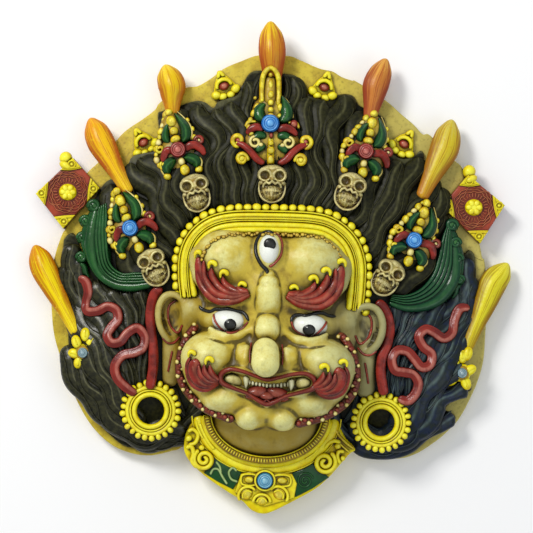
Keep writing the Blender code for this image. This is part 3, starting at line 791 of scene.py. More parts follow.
# Guide paths of the locks, from their roots outward: over the crown, and on the side lobes
CROWN_LEFT = [[(-1, 44), (-1, 80), (-4, 120), (-6, 146)],
              [(-12, 44), (-15, 75), (-10, 105), (-12, 130), (-14, 147)],
              [(-22, 44), (-27, 70), (-20, 100), (-25, 122), (-29, 135)],
              [(-33, 44), (-38, 72), (-32, 95), (-38, 112), (-42, 123)],
              [(-44, 42), (-51, 68), (-45, 90), (-55, 108), (-62, 122)],
              [(-56, 37), (-67, 60), (-66, 80), (-77, 98), (-85, 113)],
              [(-64, 26), (-76, 44), (-80, 62), (-92, 75), (-99, 82)],
              [(-68, 10), (-80, 28), (-88, 46), (-101, 60), (-108, 76)],
              [(-74, -2), (-92, 16), (-108, 36), (-119, 50), (-124, 62)],
              [(-88, -12), (-104, -2), (-112, 12), (-118, 24), (-122, 36)]]
CROWN_RIGHT = [[(1, 44), (2, 80), (5, 120), (7, 146)],
               [(12, 44), (13, 75), (9, 105), (10, 130), (9, 147)],
               [(22, 44), (28, 75), (21, 100), (24, 118), (22, 136)],
               [(33, 44), (40, 72), (32, 95), (36, 112), (40, 124)],
               [(44, 42), (52, 68), (45, 92), (52, 112), (58, 131)],
               [(58, 36), (70, 56), (70, 78), (80, 98), (84, 115)],
               [(68, 22), (82, 42), (86, 60), (96, 74), (99, 92)],
               [(74, 6), (88, 28), (97, 50), (108, 66), (113, 86)],
               [(82, -8), (100, 14), (114, 34), (123, 48), (128, 64)],
               [(94, -18), (110, -6), (116, 8), (120, 24), (124, 36)]]
LOBE_LEFT = [[(-152, -63), (-146, -80), (-139, -94), (-128, -107), (-112, -118)],
             [(-143, -74), (-131, -92), (-118, -106), (-108, -122), (-96, -134), (-80, -138), (-64, -131)],
             [(-136, -72), (-124, -88), (-113, -104), (-106, -118), (-97, -129), (-82, -134), (-62, -126)],
             [(-150, -30), (-141, -48), (-130, -62), (-122, -78), (-112, -96), (-104, -112)],
             [(-152, 18), (-153, 0), (-149, -20), (-139, -38), (-127, -50), (-118, -66), (-108, -88)],
             [(-144, 8), (-144, -10), (-135, -28), (-123, -40), (-114, -56), (-106, -72), (-100, -90)],
             [(-130, -18), (-118, -32), (-108, -48), (-101, -64), (-98, -80)],
             [(-112, -20), (-104, -36), (-98, -52), (-94, -68), (-93, -84)],
             [(-97, -18), (-94, -34), (-92, -50), (-91, -68), (-91, -88)]]
LOBE_RIGHT = [[(153, -86), (144, -90), (133, -98), (124, -110), (114, -122)],
              [(146, -62), (134, -80), (124, -96), (113, -114), (102, -130), (86, -137), (66, -130)],
              [(150, -52), (136, -72), (122, -90), (112, -108), (103, -124), (88, -134), (66, -124)],
              [(152, -30), (142, -50), (130, -66), (120, -82), (112, -98), (106, -112)],
              [(152, 15), (154, -4), (152, -22), (140, -42), (128, -56), (118, -72), (110, -92)],
              [(146, 4), (146, -16), (134, -34), (120, -46), (110, -60), (104, -76), (102, -92)],
              [(130, -26), (118, -38), (108, -52), (102, -66), (100, -82)],
              [(114, -28), (105, -40), (99, -54), (96, -68), (95, -84)],
              [(97, -24), (95, -38), (93, -54), (92, -70), (92, -90)]]
SWEPT_LEFT = [[(-131, -106), (-123, -116), (-110, -128), (-97, -135), (-82, -137), (-66, -131), (-54, -119)],
              [(-116, -108), (-108, -119), (-96, -127), (-81, -129), (-66, -123), (-57, -113), (-52, -106)],
              [(-70, -92), (-66, -104), (-60, -114), (-52, -118)]]
SWEPT_RIGHT = [[(144, -109), (135, -114), (122, -124), (108, -133), (92, -140), (76, -136), (60, -124)],
               [(120, -112), (112, -124), (98, -134), (82, -137), (66, -128), (57, -117), (53, -110)],
               [(70, -94), (67, -106), (61, -116), (53, -118)]]


def make_hair(paints):
    """Hair mass inside its outline, with the locks of the crown and of both side lobes."""
    outline = curve_through(HAIR_RIGHT + HAIR_LEFT[::-1], 6, closed=True)
    form = new_form()
    slab(form, outline, 6, HAIR_EDGE - 1.5)
    pebble(form, (0, 0, 0), (DOME[0] - 1, DOME[1] - 1, HAIR_RISE - 1.5), subdivisions=6)
    for side in (-1, 1):
        pebble(form, (LOBE[0] * side, LOBE[1], 0),
               (LOBE_REACH[0] - 1, LOBE_REACH[1] - 1, HAIR_RISE - LOBE_DROP - 1.5), subdivisions=5)
    base = thing_from(form, "hair base")
    fuse(base, 1.7)
    thin_out(base, 0.3)
    combine(base, outline_tool(outline, 6, 60), "INTERSECT")
    combine(base, hollow_tool(LINING), "DIFFERENCE")
    mark_relief(base, 10, 1.2)
    piece("hair_base", base, paints["hair"])

    width = bpy.context.scene.mask_sizes.lock_width / MM
    crown = new_form()
    for guides, seed in ((CROWN_LEFT, 3), (CROWN_RIGHT, 4)):
        lay_locks(crown, between(guides, round(85 / width)), outline, seed=seed)
    piece("crown_hair", crown, paints["hair"])
    for name, lobe, swept, seed, tone in (("left_hair", LOBE_LEFT, SWEPT_LEFT, 5, "side_hair"),
                                          ("right_hair", LOBE_RIGHT, SWEPT_RIGHT, 6, "blue_hair")):
        form = new_form()
        lay_locks(form, between(lobe, round(80 / width)), outline, wave=1.5, length=33, seed=seed)
        lay_locks(form, between(swept[:2], 3), outline, lift=0.6, wave=1.2, seed=seed + 2)
        lay_locks(form, between(swept[2:] * 2, 2), outline, lift=-1, wave=0.8, seed=seed + 4)
        piece(name, form, paints[tone])


# ---------------------------------------------------------------- head

FACE_MIDDLE = 1.2       # how far the eyes and the mouth are set to the right
FACE_HALF = 62.0        # half width of the face
FACE_SHIFT = 1.3        # how far both sides of the face are drawn to the right
FACE_LEAN = 0.034       # how much lower the face gets towards the right


def face_warp(points):
    """The hand-made lean of the face: its right side sits a little lower and wider."""
    moved = points.copy()
    moved[:, 0] += FACE_SHIFT * (points[:, 0] / FACE_HALF) ** 2
    moved[:, 1] -= FACE_LEAN * points[:, 0]
    return moved


def head_lumps():
    """Head, ears and neck, in the face's own even frame."""
    base = [rod([(-33, 5, 17), (33, 5, 17), (35, -82, 17), (-35, -82, 17), (-33, 5, 17)], 30, 8),
            blob((0, -4, 0), (66, 50, 64), 14),
            blob((0, -44, 0), (64, 56, 62), 14),
            blob((0, -80, 0), (65, 42, 73), 14)]
    neck = [blob((0, -118, 0), (51, 31, 47), 2.0)]
    forehead = both(blob((33, 6, 38), (26.5, 22.5, 29.5), 10, turn=-10),
                    rod([(14, -21, 57), (28, -25, 57), (42, -21, 54), (52, -9, 50), (56, 5, 44)],
                        [5, 6, 6.5, 6, 5], 8),
                    blob((61, -37, 25), (13, 24, 20), 10),
                    blob((57, -34, 38), (9, 8, 10.5), 8))
    middle = [blob((0, 9, 53), (13.5, 18, 16), 4),
              blob((0, -18, 52), (15, 17, 16), 8),
              rod([(0.5, -6.5, 65.5), (0.5, -12, 66), (0.5, -18, 66), (0.5, -24.6, 65.5)],
                  [4.2, 7.2, 8.9, 9.0], 1.6)]
    eyes = both(blob((29, -41.5, 48), (20, 12, 11.5), 7),
                rod([(14, -47.5, 64.6), (21, -51.2, 66.2), (31, -52.4, 67.8), (39, -50.4, 65.4),
                     (45, -46.0, 58.5)],
                    [1.4, 2.0, 2.4, 2.0, 1.2], 2.6))
    creases = both(cut(rod([(13, -50.8, 68), (20, -55.2, 69.8), (31, -57.0, 73.4), (39, -55.8, 73.2),
                            (44, -54.0, 71.5)], [0.9, 1.4, 1.5, 1.2, 0.4], 2.2)),
                   cut(rod([(22.4, -57, 71), (24, -62, 73.4), (24.4, -68, 74.6), (25, -73.4, 75.4)],
                           [0.9, 1.3, 1.4, 1.0], 2.0)))
    nose = [blob((0, -49, 52), (16.5, 25, 19.5), 9),
            rod([(0.4, -42.6, 68.5), (0.2, -46.4, 70.6)], [8.7, 9.0], 1.5),
            blob((0, -66, 68), (12, 12, 16), 5),
            rod([(-0.6, -61.2, 82), (-0.6, -65.5, 88.0), (-0.6, -69.8, 91.6)], [9.7, 10.1, 10.3], 1.4),
            blob((-0.6, -68, 76), (10, 10.5, 18), 3)]
    wings = both(rod([(14.4, -60.5, 73), (20.4, -65.8, 72), (15.4, -68.2, 75), (14.4, -60.5, 73)],
                     [2.5, 2.8, 3.4, 2.5], 2),
                 blob((16.5, -66, 66), (6.5, 6, 9), 3),
                 blob((22, -62, 53), (14, 13, 17), 8),
                 cut(rod([(11.2, -55, 80), (11.8, -63, 82.5), (11.4, -72, 83)], 0.6, 1.6)))
    cheeks = both(blob((42.5, -68.5, 55), (22.5, 18, 27), 5, turn=-8),
                  blob((44, -79, 43), (20, 24, 34), 9))
    muzzle = [blob((0, -82, 50), (38, 15, 30), 8),
              blob((0, -99, 42), (52, 19, 33), 9),
              *both(blob((15, -75, 60), (15, 8, 17), 5))]
    half_bed = [(0, -82.5, 79.4), (9, -80.3, 79.2), (18, -77.6, 78.4), (27, -76.5, 77.4), (33, -79, 76),
                (35, -83, 75), (32, -87.2, 75.4), (24, -90.3, 76.4), (14, -93.4, 77.4), (7, -97.3, 77.6),
                (0, -100, 77.6)]
    lip_bed = [rod([(FACE_MIDDLE + side * x, y, z) for x, y, z in half_bed], 2.0, 3.2) for side in (-1, 1)]
    jaw = [*both(blob((29, -97, 56), (19, 11, 20), 6, turn=-18)),
           blob((0, -106, 52), (20, 10, 20), 6),
           blob((-11.2, -110.8, 57), (11.6, 10.6, 20), 4, turn=24),
           blob((12.8, -110.4, 57), (11.4, 10.4, 20), 3.4, turn=-14)]
    mouth = [cut(rod([(-29, -83.5, 84), (-15, -85.2, 86), (1, -90.5, 86), (17, -85.2, 86), (31, -83.5, 84)],
                     [5.2, 7.2, 9.0, 7.2, 5.2], 1.6))]
    helix = curve_through([(64, -36, 40), (66, -28, 43), (72.5, -24.6, 44), (79.5, -26.5, 44.5),
                           (83.6, -34, 44.5), (83.8, -44, 44), (80.5, -53, 43), (75.5, -59, 41)], 3)
    ear = both(blob((74, -41, 26), (13, 20, 15.5), 3),
               rod([(73.5, -57, 34), (73, -68, 34.5), (73.2, -80, 32.5), (74, -88, 30)],
                   [7.2, 7.5, 7.3, 6.5], 3),
               rod(helix, 2.7, 1.6),
               cut(blob((73.2, -41, 45), (7.4, 13.0, 6.5), 2.0)),
               rod([(67.5, -50, 39), (70.5, -54, 39.5), (75, -51, 40), (76.8, -44, 40)], 1.4, 1.2),
               cut(rod([(71.5, -66, 43), (73, -75, 43), (74.5, -83, 41)], 1.3, 1.2)))
    return [*base, *neck, *forehead, *middle, *eyes, *nose, *wings, *cheeks, *creases, *muzzle, *lip_bed,
            *jaw, *mouth, *ear]


class Skin:
    """Upper surface of finished forms, asked for its height under a point."""

    def __init__(self, *things):
        self.trees = []
        for thing in things:
            mesh = thing.data
            self.trees.append(BVHTree.FromPolygons([v.co for v in mesh.vertices],
                                                   [p.vertices[:] for p in mesh.polygons]))

    def height(self, x, y, low=20.0):
        hits = [tree.ray_cast(Vector((x, y, 300)), Vector((0, 0, -1)))[0] for tree in self.trees]
        return max([low, *(h.z for h in hits if h is not None)])

    def path(self, points, lift=0.0, steps=6, low=20.0):
        rows = curve_through([p[:2] for p in points], steps)
        return [(x, y, self.height(x, y, low) + lift) for x, y in rows]


def mirror_path(points):
    """The same path on the other side of the mask."""
    return [(-p[0], *p[1:]) for p in points]


def face_piece(name, form, material):
    """Finishes a piece of the face, after giving it the face's lean."""
    thing = form if isinstance(form, bpy.types.Object) else thing_from(form, name)
    set_points(thing.data, face_warp(mesh_points(thing.data)))
    return piece(name, thing, material)


def make_head(paints):
    """Head with ears and neck; returns its surface in the face's own frame."""
    grain = bpy.context.scene.mask_sizes.head_grain / MM
    head = carved("head", head_lumps(), grain, floor=14.0)
    combine(head, hollow_tool(LINING), "DIFFERENCE")
    mark_relief(head, 20, 0.45, lift=0.08, broad=160, swell_depth=4.2)
    balls = new_form()
    for side in (-1, 1):
        pebble(balls, (FACE_MIDDLE + 29.2 * side, -41.3, 54.5), (14, 9.2, 10.8), subdivisions=4)
    pebble(balls, (0, 12, 60), (8.5, 12.5, 11.5), subdivisions=4)
    eyeballs = thing_from(balls, "eyeballs")
    combine(eyeballs, hollow_tool(LINING), "DIFFERENCE")
    skin = Skin(head, eyeballs)
    face_piece("head", head, paints["skin"])
    face_piece("eye_whites", eyeballs, paints["white"])
    return skin


# Painted lines over and under the left (-1) and the right (1) eye
EYE_UPPER = {-1: [(-52, -31.5), (-50.7, -33.5), (-46.9, -35), (-43, -35.3), (-39.3, -33.4), (-34, -33.3),
                  (-29.5, -32.4), (-24.1, -33.6), (-18.9, -34.3), (-15.8, -36.6), (-13.8, -40.5)],
             1: [(17.6, -40), (18.4, -36.5), (20.5, -34.3), (24, -33.8), (27.7, -34.2), (32, -33.2),
                 (35.5, -31.7), (40.7, -31.5), (45, -33.2), (50.5, -33.5)]}
EYE_LOWER = {-1: [(-40.5, -37), (-39.1, -42), (-35.1, -46.9), (-30.5, -49.6), (-25.2, -49.7), (-18.5, -46.7),
                  (-14.2, -41.2)],
             1: [(17.6, -38.6), (19.9, -44.3), (25.1, -47.9), (31, -49.6), (36, -47.3), (40.9, -42.3),
                 (43.7, -37.7)]}


def make_eyes(paints, skin):
    """Painted lids, rims, pupils and glints of the three eyes, and the lines of the nostrils."""
    black, red, white = new_form(), new_form(), new_form()
    for side, pupil in ((-1, (-27.6, -43.7)), (1, (30.8, -44))):
        sweep(black, skin.path(EYE_UPPER[side], 0.4), 1.35, 1.0, spacing=0.8, ends=(3, 3))
        sweep(red, skin.path(EYE_LOWER[side], 0.3), 0.9, 0.8, spacing=0.8)
        x, y = pupil
        pebble(black, (x, y, skin.height(x, y) - 0.6), (4.7, 4.7, 1.7), subdivisions=4)
        pebble(white, (x - 1.4, y + 1.5, skin.height(x, y) + 0.7), (0.6, 0.45, 0.4), subdivisions=2)
        nostril = [(11.3 * side, -56), (12.2 * side, -63), (11.8 * side, -71)]
        sweep(red, skin.path(nostril, 0.2), 0.7, 0.7, spacing=0.8)
    left_lid = [(4, 25.6), (-2, 26.3), (-7, 23), (-9.8, 16.5), (-9.2, 9), (-5.5, 2), (-1.5, -1.8),
                (-0.8, -4.5)]
    sweep(black, skin.path(left_lid, 0.3), 1.5, 1.2, spacing=0.8, ends=(3, 2))
    right_lid = [(2, 26.2), (7, 23.8), (9.6, 17.5), (8.6, 9.5), (4.5, 3.5), (0.5, 0.5)]
    sweep(red, skin.path(right_lid, 0.3), 1.0, 0.9, spacing=0.8)
    pebble(black, (0.5, 17.3, skin.height(0.5, 17.3) - 0.7), (4.6, 4.6, 1.9), subdivisions=4)
    pebble(white, (1.8, 18.6, skin.height(1, 18) + 0.7), (0.6, 0.5, 0.4), subdivisions=2)
    face_piece("eye_lines", black, paints["black"])
    face_piece("eye_rims", red, paints["red"])
    face_piece("eye_glints", white, paints["white"])


# Right eyebrow and right moustache: body and its half widths, strands with theirs, and curls (x, y, radius)
BROW_BODY = ([(14, -20), (24, -22.5), (36, -21), (46, -13), (51, -3), (53.5, 5)],
             [1.6, 3.4, 5.6, 6.4, 5.2, 2.0])
BROW_STRANDS = [([(13.5, -20.5), (25, -26), (40, -25.5), (51.5, -14), (54.5, 4)], 3.4),
                ([(14, -20), (27, -23.5), (40, -20.5), (48, -10), (49, 2.5)], 3.3),
                ([(14, -19.5), (27, -21), (37, -16.5), (42.5, -8), (43, -2)], 3.2),
                ([(14.5, -19), (25, -18.6), (32.5, -14), (34.5, -8)], 3.0),
                ([(14.5, -18.5), (20, -18.4), (24, -15.5)], 2.6)]
BROW_CURLS = [(53.5, 6.5, 2.7), (42.5, -0.5, 2.7), (33.5, -6.8, 2.7), (19.5, -14.6, 2.5)]
LIP_BODY = ([(35, -86), (42, -87), (49, -84), (52.5, -77), (52, -70)], [2.4, 4.8, 6.6, 6.4, 3.0])
LIP_STRANDS = [([(34.5, -86.5), (45, -92), (55, -88), (58.5, -77), (57, -68.5)], 3.0),
               ([(34.5, -86), (44, -89), (52, -84), (54.5, -75), (53.5, -70)], 2.9),
               ([(34.5, -86), (43, -86), (48.5, -81), (50.5, -74.5)], 2.8),
               ([(34.5, -85.5), (41, -83.5), (45.5, -78.5), (46, -73.5)], 2.6),
               ([(34.5, -85), (39, -81.5), (41.5, -77.5), (41.5, -73.5)], 2.3)]
LIP_CURLS = [(56, -67, 2.5), (42.5, -71, 2.7)]


def make_brows(paints, skin):
    """Flame-like eyebrows and moustaches, with their yellow curls."""
    for name, body, strands, curls in (("eyebrows", BROW_BODY, BROW_STRANDS, BROW_CURLS),
                                       ("moustaches", LIP_BODY, LIP_STRANDS, LIP_CURLS)):
        red, gold = new_form(), new_form()
        for side in (-1, 1):
            def at(points):
                return points if side > 0 else mirror_path(points)
            sweep(red, [(x, y, skin.height(x, y)) for x, y in at(body[0])], body[1], 3.0, around=18)
            for k, (strand, half) in enumerate(strands):
                path = skin.path(at(strand), 1.4 + 0.35 * k, steps=5)
                share = np.linspace(0, 1, len(path))
                width = half * (0.4 + 0.72 * np.sin(np.pi * (0.08 + 0.7 * share))) * (1 - 0.5 * share ** 3)
                sweep(red, path, width, width * 0.9, around=18, spacing=0.8, ends=(0.8, 5.0))
            for x, y, r in curls:
                x *= side
                z = skin.height(x, y)
                hook = [(x + side * 0.9 * r, y - 1.1 * r, z + 1.4),
                        (x + side * 0.85 * r, y + 0.1 * r, z + 2.4),
                        (x + side * 0.1 * r, y + 0.75 * r, z + 2.8),
                        (x - side * 0.85 * r, y + 0.35 * r, z + 2.6),
                        (x - side * 0.9 * r, y - 0.5 * r, z + 2.2)]
                sweep(gold, hook, [r * 0.25, r * 0.5, r * 0.68, r * 0.72, r * 0.55], spacing=0.6)
        face_piece(name, red, paints["red"])
        face_piece(name + "_curls", gold, paints["gold"])


def make_mouth(paints):
    """Lips, teeth, fangs, tongue and the flesh at the corners of the mouth."""
    red, ivory, tongue, flesh = new_form(), new_form(), new_form(), new_form()
    half_lips = [(0, -82.2), (9, -80), (18, -77.3), (27, -76.2), (33, -78.8), (35, -83), (32.5, -87.3),
                 (24, -90.4), (14, -93.5), (7, -97.5), (0, -100.2)]
    ring = half_lips + mirror_path(half_lips[1:-1])[::-1]
    heights = [83.5, 83.2, 82.5, 81.5, 80, 79, 79.5, 80.5, 81.5, 82, 82]
    heights = heights + heights[1:-1][::-1]
    thick = np.array([1.5, 1.4, 1.5, 1.7, 2.0, 2.2, 2.0, 1.6, 1.5, 1.7, 2.0])
    thick = np.concatenate([thick, thick[1:-1][::-1]])
    lip = [(x + FACE_MIDDLE, y, z - 1.0) for (x, y), z in zip(ring, heights)]
    sweep(red, lip, thick, 2.1, around=14, spacing=0.9, closed=True)
    for k in range(12):
        x = -12.0 + 2.6 * k
        pebble(ivory, (x, -84.8 - 1.7 * (1 - ((x - 1.5) / 15) ** 2), 77.6),
               (1.34, 2.2 + 0.3 * math.sin(3 * k), 1.9), turn=6 * math.sin(2 * k), subdivisions=2)
    for x, top, low in ((-14.6, -80.5, -90.0), (18.6, -81.0, -89.6)):
        sweep(ivory, [(x, top, 78), (x + 0.3, top - 4.5, 79.6), (x + 0.1, low, 79)], [2.6, 1.9, 0.4],
              spacing=0.7)
    pebble(flesh, (-24.6, -84.4, 73.0), (8.6, 5.6, 5.6), turn=-6, subdivisions=4)
    pebble(flesh, (27.6, -83.0, 73.0), (6.6, 6.0, 5.6), subdivisions=4)
    for side in (-1, 1):
        pebble(tongue, (FACE_MIDDLE + 7.8 * side, -92.4, 75.0), (9.4, 5.6, 6.4), turn=-16 * side,
               subdivisions=4)
        fold = [(FACE_MIDDLE + x * side, y, z)
                for x, y, z in ((15, -92.6, 79.0), (9.5, -96.6, 81.0), (3, -98.6, 81.6), (0, -96.8, 81.6))]
        sweep(red, fold, [0.5, 0.9, 0.9, 0.5], spacing=0.7, around=8)
    pebble(tongue, (FACE_MIDDLE, -95.0, 75.4), (7.4, 4.6, 6.4), subdivisions=4)
    face_piece("lips", red, paints["lip_red"])
    face_piece("teeth", ivory, paints["ivory"])
    face_piece("tongue", tongue, paints["tongue"])
    face_piece("mouth_corners", flesh, paints["gum"])


def make_beard(paints, skin):
    """Strip along the jaw with two kinds of beads, pale and dark, in turn."""
    strip, pale, dark = new_form(), new_form(), new_form()
    course = [(53, -46), (58, -52), (63, -62), (65.5, -74), (64.5, -86), (58, -97), (49, -104.5),
              (41, -108.5), (33, -111), (26, -113), (22.5, -114.5)]
    for side in (-1, 1):
        points = course if side > 0 else mirror_path(course)
        inner = [(x * 0.975, y * 0.995 + 0.3) for x, y in points]
        heights = np.array([max(skin.height(x, y, 36.0) - 2.2, 50.0) for x, y in inner])
        for _ in range(3):
            heights[1:-1] = (heights[:-2] + 2 * heights[1:-1] + heights[2:]) / 4
        rows = curve_through([(x, y, z) for (x, y), z in zip(points, heights)], 5)
        sweep(strip, rows, np.linspace(3.2, 4.4, len(rows)), 3.2, spacing=1.0)
        travel = np.concatenate([[0], np.cumsum(np.linalg.norm(np.diff(rows[:, :2], axis=0), axis=1))])
        for k, place in enumerate(np.arange(1.5, travel[-1] - 1, 2.5)):
            x, y, z = (np.interp(place, travel, rows[:, j]) for j in range(3))
            ahead = [np.interp(place + 1, travel, rows[:, j]) for j in range(2)]
            step = np.array([ahead[1] - y, x - ahead[0]])
            step /= np.linalg.norm(step)
            shift = (1.9, -0.6, -2.0, 0.7)[k % 4]
            form, r = (pale, 1.7) if k % 4 in (0, 2) else (dark, 2.2)
            r *= 1 + 0.12 * math.sin(k * 1.7)
            pebble(form, (x + step[0] * shift, y + step[1] * shift, z + 2.7), (r, r, r * 0.9), subdivisions=2)
    face_piece("jaw_beard", strip, paints["brown_red"])
    face_piece("beard_beads", pale, paints["pale_gold"])
    face_piece("beard_knots", dark, paints["lip_red"])


def circle(x, y, z, radius, count=40):
    """Points of a level circle."""
    return [(x + radius * math.cos(math.tau * k / count), y + radius * math.sin(math.tau * k / count), z)
            for k in range(count)]


def make_ears(paints, skin):
    """Lines in the ears, the straps behind them, and the round earrings."""
    red, straps = new_form(), new_form()
    for side in (-1, 1):
        def at(points):
            return points if side > 0 else mirror_path(points)
        sweep(red, skin.path(at([(70, -28.5), (75.6, -33), (76.6, -41), (74, -49), (68.5, -53),
                                 (64.8, -47)]), 0.2),
              0.9, 0.8, spacing=0.9)
        sweep(red, skin.path(at([(67, -56), (71, -60.5), (76, -61), (80.5, -57.5)]), 0.2), 0.9, 0.7,
              spacing=0.9)
        sweep(red, skin.path(at([(72.4, -67), (74, -75), (75.4, -83)]), 0.2), 0.8, 0.7, spacing=0.9)
    strap_left = [(-80, -17), (-85.5, -23), (-88, -36), (-87, -50), (-85, -64), (-84.8, -78), (-87, -94)]
    strap_right = [(82, -23), (88.5, -30), (92.5, -42), (91, -54), (87, -66), (86.5, -78), (89.5, -94)]
    for path in (strap_left, strap_right):
        rows = [(x, y, hair_height(x, y) + 6.0) for x, y in path]
        sweep(straps, rows, 3.8, 2.6, around=18, ribs=2, rib=0.1)
    face_piece("ear_lines", red, paints["red"])
    piece("ear_straps", straps, paints["red"])
    rings, beads = new_form(), new_form()
    for x, y, size in ((-86, -110, 1.0), (87.8, -114.5, 0.99)):
        z = hair_height(x, y) + 7
        sweep(rings, circle(x, y, z - 0.5, 17.4 * size), 2.2, 2.6, closed=True)
        sweep(rings, circle(x, y, z + 1.4, 15.2 * size), 0.9, 1.4, closed=True)
        sweep(rings, circle(x, y, z + 0.6, 12.4 * size), 2.2, 3.2, closed=True)
        for k in range(25):
            angle = math.tau * k / 25
            reach = (20.4 + 0.4 * math.sin(3 * k)) * size
            pebble(beads, (x + reach * math.cos(angle), y + reach * math.sin(angle), z - 0.6),
                   (2.9, 2.4 + 0.2 * math.sin(5 * k), 2.8), turn=math.degrees(angle), subdivisions=3)
    piece("earrings", rings, paints["gold"])
    piece("earring_beads", beads, paints["gold"])


# ---------------------------------------------------------------- crown

BAND_ARCH = [(-59, -24), (-61, -8), (-60.5, 8), (-55, 21), (-44, 30.5), (-28, 35), (0, 36), (32, 35.5),
             (48, 31), (60, 20.5), (66, 6), (66.5, -12), (65, -31)]


def band_path(offset, lift, steps=8):
    """Course of the crown band, moved outward by offset and raised by lift."""
    rows = curve_through(BAND_ARCH, steps)
    along = np.gradient(rows, axis=0)
    along /= np.linalg.norm(along, axis=1)[:, None]
    out = np.column_stack([-along[:, 1], along[:, 0]])
    rows = rows + out * offset
    return [(x, y, 50.5 - 7 * min(abs(x) / 66, 1.1) ** 2 + lift) for x, y in rows]


def along_path(rows, gap, start=0.0):
    """Points at even gaps along a path, with the direction there in degrees."""
    rows = np.array(rows)
    travel = np.concatenate([[0], np.cumsum(np.linalg.norm(np.diff(rows[:, :2], axis=0), axis=1))])
    for place in np.arange(start, travel[-1], gap):
        x, y, z = (np.interp(place, travel, rows[:, j]) for j in range(3))
        ahead = [np.interp(place + 0.5, travel, rows[:, j]) for j in range(2)]
        yield x, y, z, math.degrees(math.atan2(ahead[1] - y, ahead[0] - x))


def make_crown_band(paints, skin):
    """Arched band over the forehead: ridges, a row of large beads, and small beads on the brow."""
    gold, beads, old = new_form(), new_form(), new_form()
    sweep(gold, band_path(0, -3.5), 7.5, 6.0, around=16, spacing=1.5)
    for offset, lift, width, height in ((5.9, 0.6, 0.8, 2.2), (3.1, 0.9, 2.0, 2.1), (0.4, 2.0, 0.75, 1.9),
                                        (-1.0, 2.1, 0.75, 1.9), (-4.1, 1.9, 2.4, 2.2)):
        sweep(gold, band_path(offset, lift), width, height, spacing=1.2)
    strip = [row for row in band_path(-8.2, 2.6) if row[1] > -12]
    sweep(gold, strip, 2.7, 1.6, spacing=1.3, ends=(2, 2))
    for k, (x, y, z, turn) in enumerate(along_path(band_path(8.4, -2.0), 6.7, 3.0)):
        pebble(beads, (x, y, z), (3.55 + 0.35 * math.sin(k * 2.1), 3.3 + 0.3 * math.sin(k * 3.3), 3.6),
               turn=turn + 22 * math.sin(k * 5.0))
    keep = [row for row in band_path(-11.4, 3.2) if row[1] > 4]
    for k, (x, y, z, turn) in enumerate(along_path(keep, 2.1)):
        r = 1.3 + 0.35 * math.sin(k * 2.7)
        y += 0.8 * math.sin(k * 1.9)
        z = max(z + 2, skin.height(x, y + FACE_LEAN * x) + 0.5)
        pebble(old, (x, y, z), (r * 1.15, r, r), turn=turn, subdivisions=2)
    piece("crown_band", gold, paints["gold"])
    piece("crown_beads", beads, paints["gold"])
    piece("brow_beads", old, paints["old_gold"])


# Side jewels: place of the stone, lean in degrees and the stone's paint; skulls: place and lean
JEWELS = [((-70.5, 87), 14, "red"), ((71, 89.5), -13, "red"), ((-105, 27), 20, "blue"),
          ((109, 23.5), -20, "blue")]
SKULLS = [((1, 69), 0), ((-57.5, 60.5), 14), ((61.5, 64.5), -20), ((-88.5, 3.5), 24), ((92.5, 0), -32)]


def skull_lumps():
    """One small skull: round sockets with rims, a scrolled lip, teeth and a jaw."""
    scroll = [(-6.6, -8.8, 10), (-6.2, -6.8, 11), (-4.2, -5.2, 12.2), (-2.2, -6.4, 12.8), (0, -4.4, 13.4),
              (2.2, -6.4, 12.8), (4.2, -5.2, 12.2), (6.2, -6.8, 11), (6.6, -8.8, 10)]
    jaw = curve_through([(-9.4, -6, 6), (-9.4, -12, 7), (-6.6, -17.6, 8), (0, -20.4, 8.5), (6.6, -17.6, 8),
                         (9.4, -12, 7), (9.4, -6, 6)], 3)
    angles = np.linspace(0, math.tau, 17)
    ring = [(5.3 + 4.4 * math.cos(a), 4.2 * math.sin(a), 11.6 - 0.12 * (5.3 + 4.4 * math.cos(a)) ** 1.2)
            for a in angles]

    def on_teeth(x, y):
        return x, y, 12.6 * math.sqrt(max(0.04, 1 - (x / 9.2) ** 2 - ((y + 11.5) / 9.2) ** 2)) - 0.1

    gaps = [cut(rod([on_teeth(x, -8.8), on_teeth(x, -13), on_teeth(x * 0.9, -17.4)], 0.62, 0.4))
            for x in (-6.0, -3.6, -1.2, 1.2, 3.6, 6.0)]
    bite = cut(rod([on_teeth(x, -13.6 + 0.02 * x * x) for x in (-8, -5, -2, 2, 5, 8)], 0.95, 0.4))
    return [blob((0, 0.4, 0), (11.2, 8.2, 12), 2), blob((0, -11.5, 0), (9.2, 9.2, 12.6), 2),
            blob((0, -3.0, 8), (2.4, 4.2, 4.5), 1.5),
            *both(blob((7.6, -5.6, 6.5), (2.4, 2.0, 4.2), 1), rod(ring, 0.8, 0.4),
                  cut(blob((5.3, 0, 13.5), (3.5, 3.3, 7.0), 0.5)),
                  cut(blob((1.3, -2.9, 13.4), (0.7, 1.3, 3), 0.4))),
            *gaps, bite, rod(scroll, 0.85, 0.3), rod(jaw, 0.9, 0.6)]


def make_skulls(paints):
    """Five copies of one skull, under the jewels."""
    model = carved("skull", skull_lumps(), 0.5, floor=-3.0)
    thin_out(model, 0.5)
    mark_relief(model, 16, 0.42, lift=0.04)
    form = new_form()
    for (x, y), lean in SKULLS:
        copy = model.data.copy()
        place = (Matrix.Translation((x, y, hair_height(x, y - 8) + 2))
                 @ Matrix.Rotation(math.radians(lean), 4, "Z"))
        copy.transform(place)
        form.from_mesh(copy)
        bpy.data.meshes.remove(copy)
    bpy.data.objects.remove(model)
    piece("skulls", form, paints["bone"])


def spot(stone, lean, across, up, lift=0.0):
    """Point of a jewel's own flat frame, on the hair."""
    turn = math.radians(lean)
    x = stone[0] + across * math.cos(turn) - up * math.sin(turn)
    y = stone[1] + across * math.sin(turn) + up * math.cos(turn)
    return (x, y, hair_height(x, y) + lift)


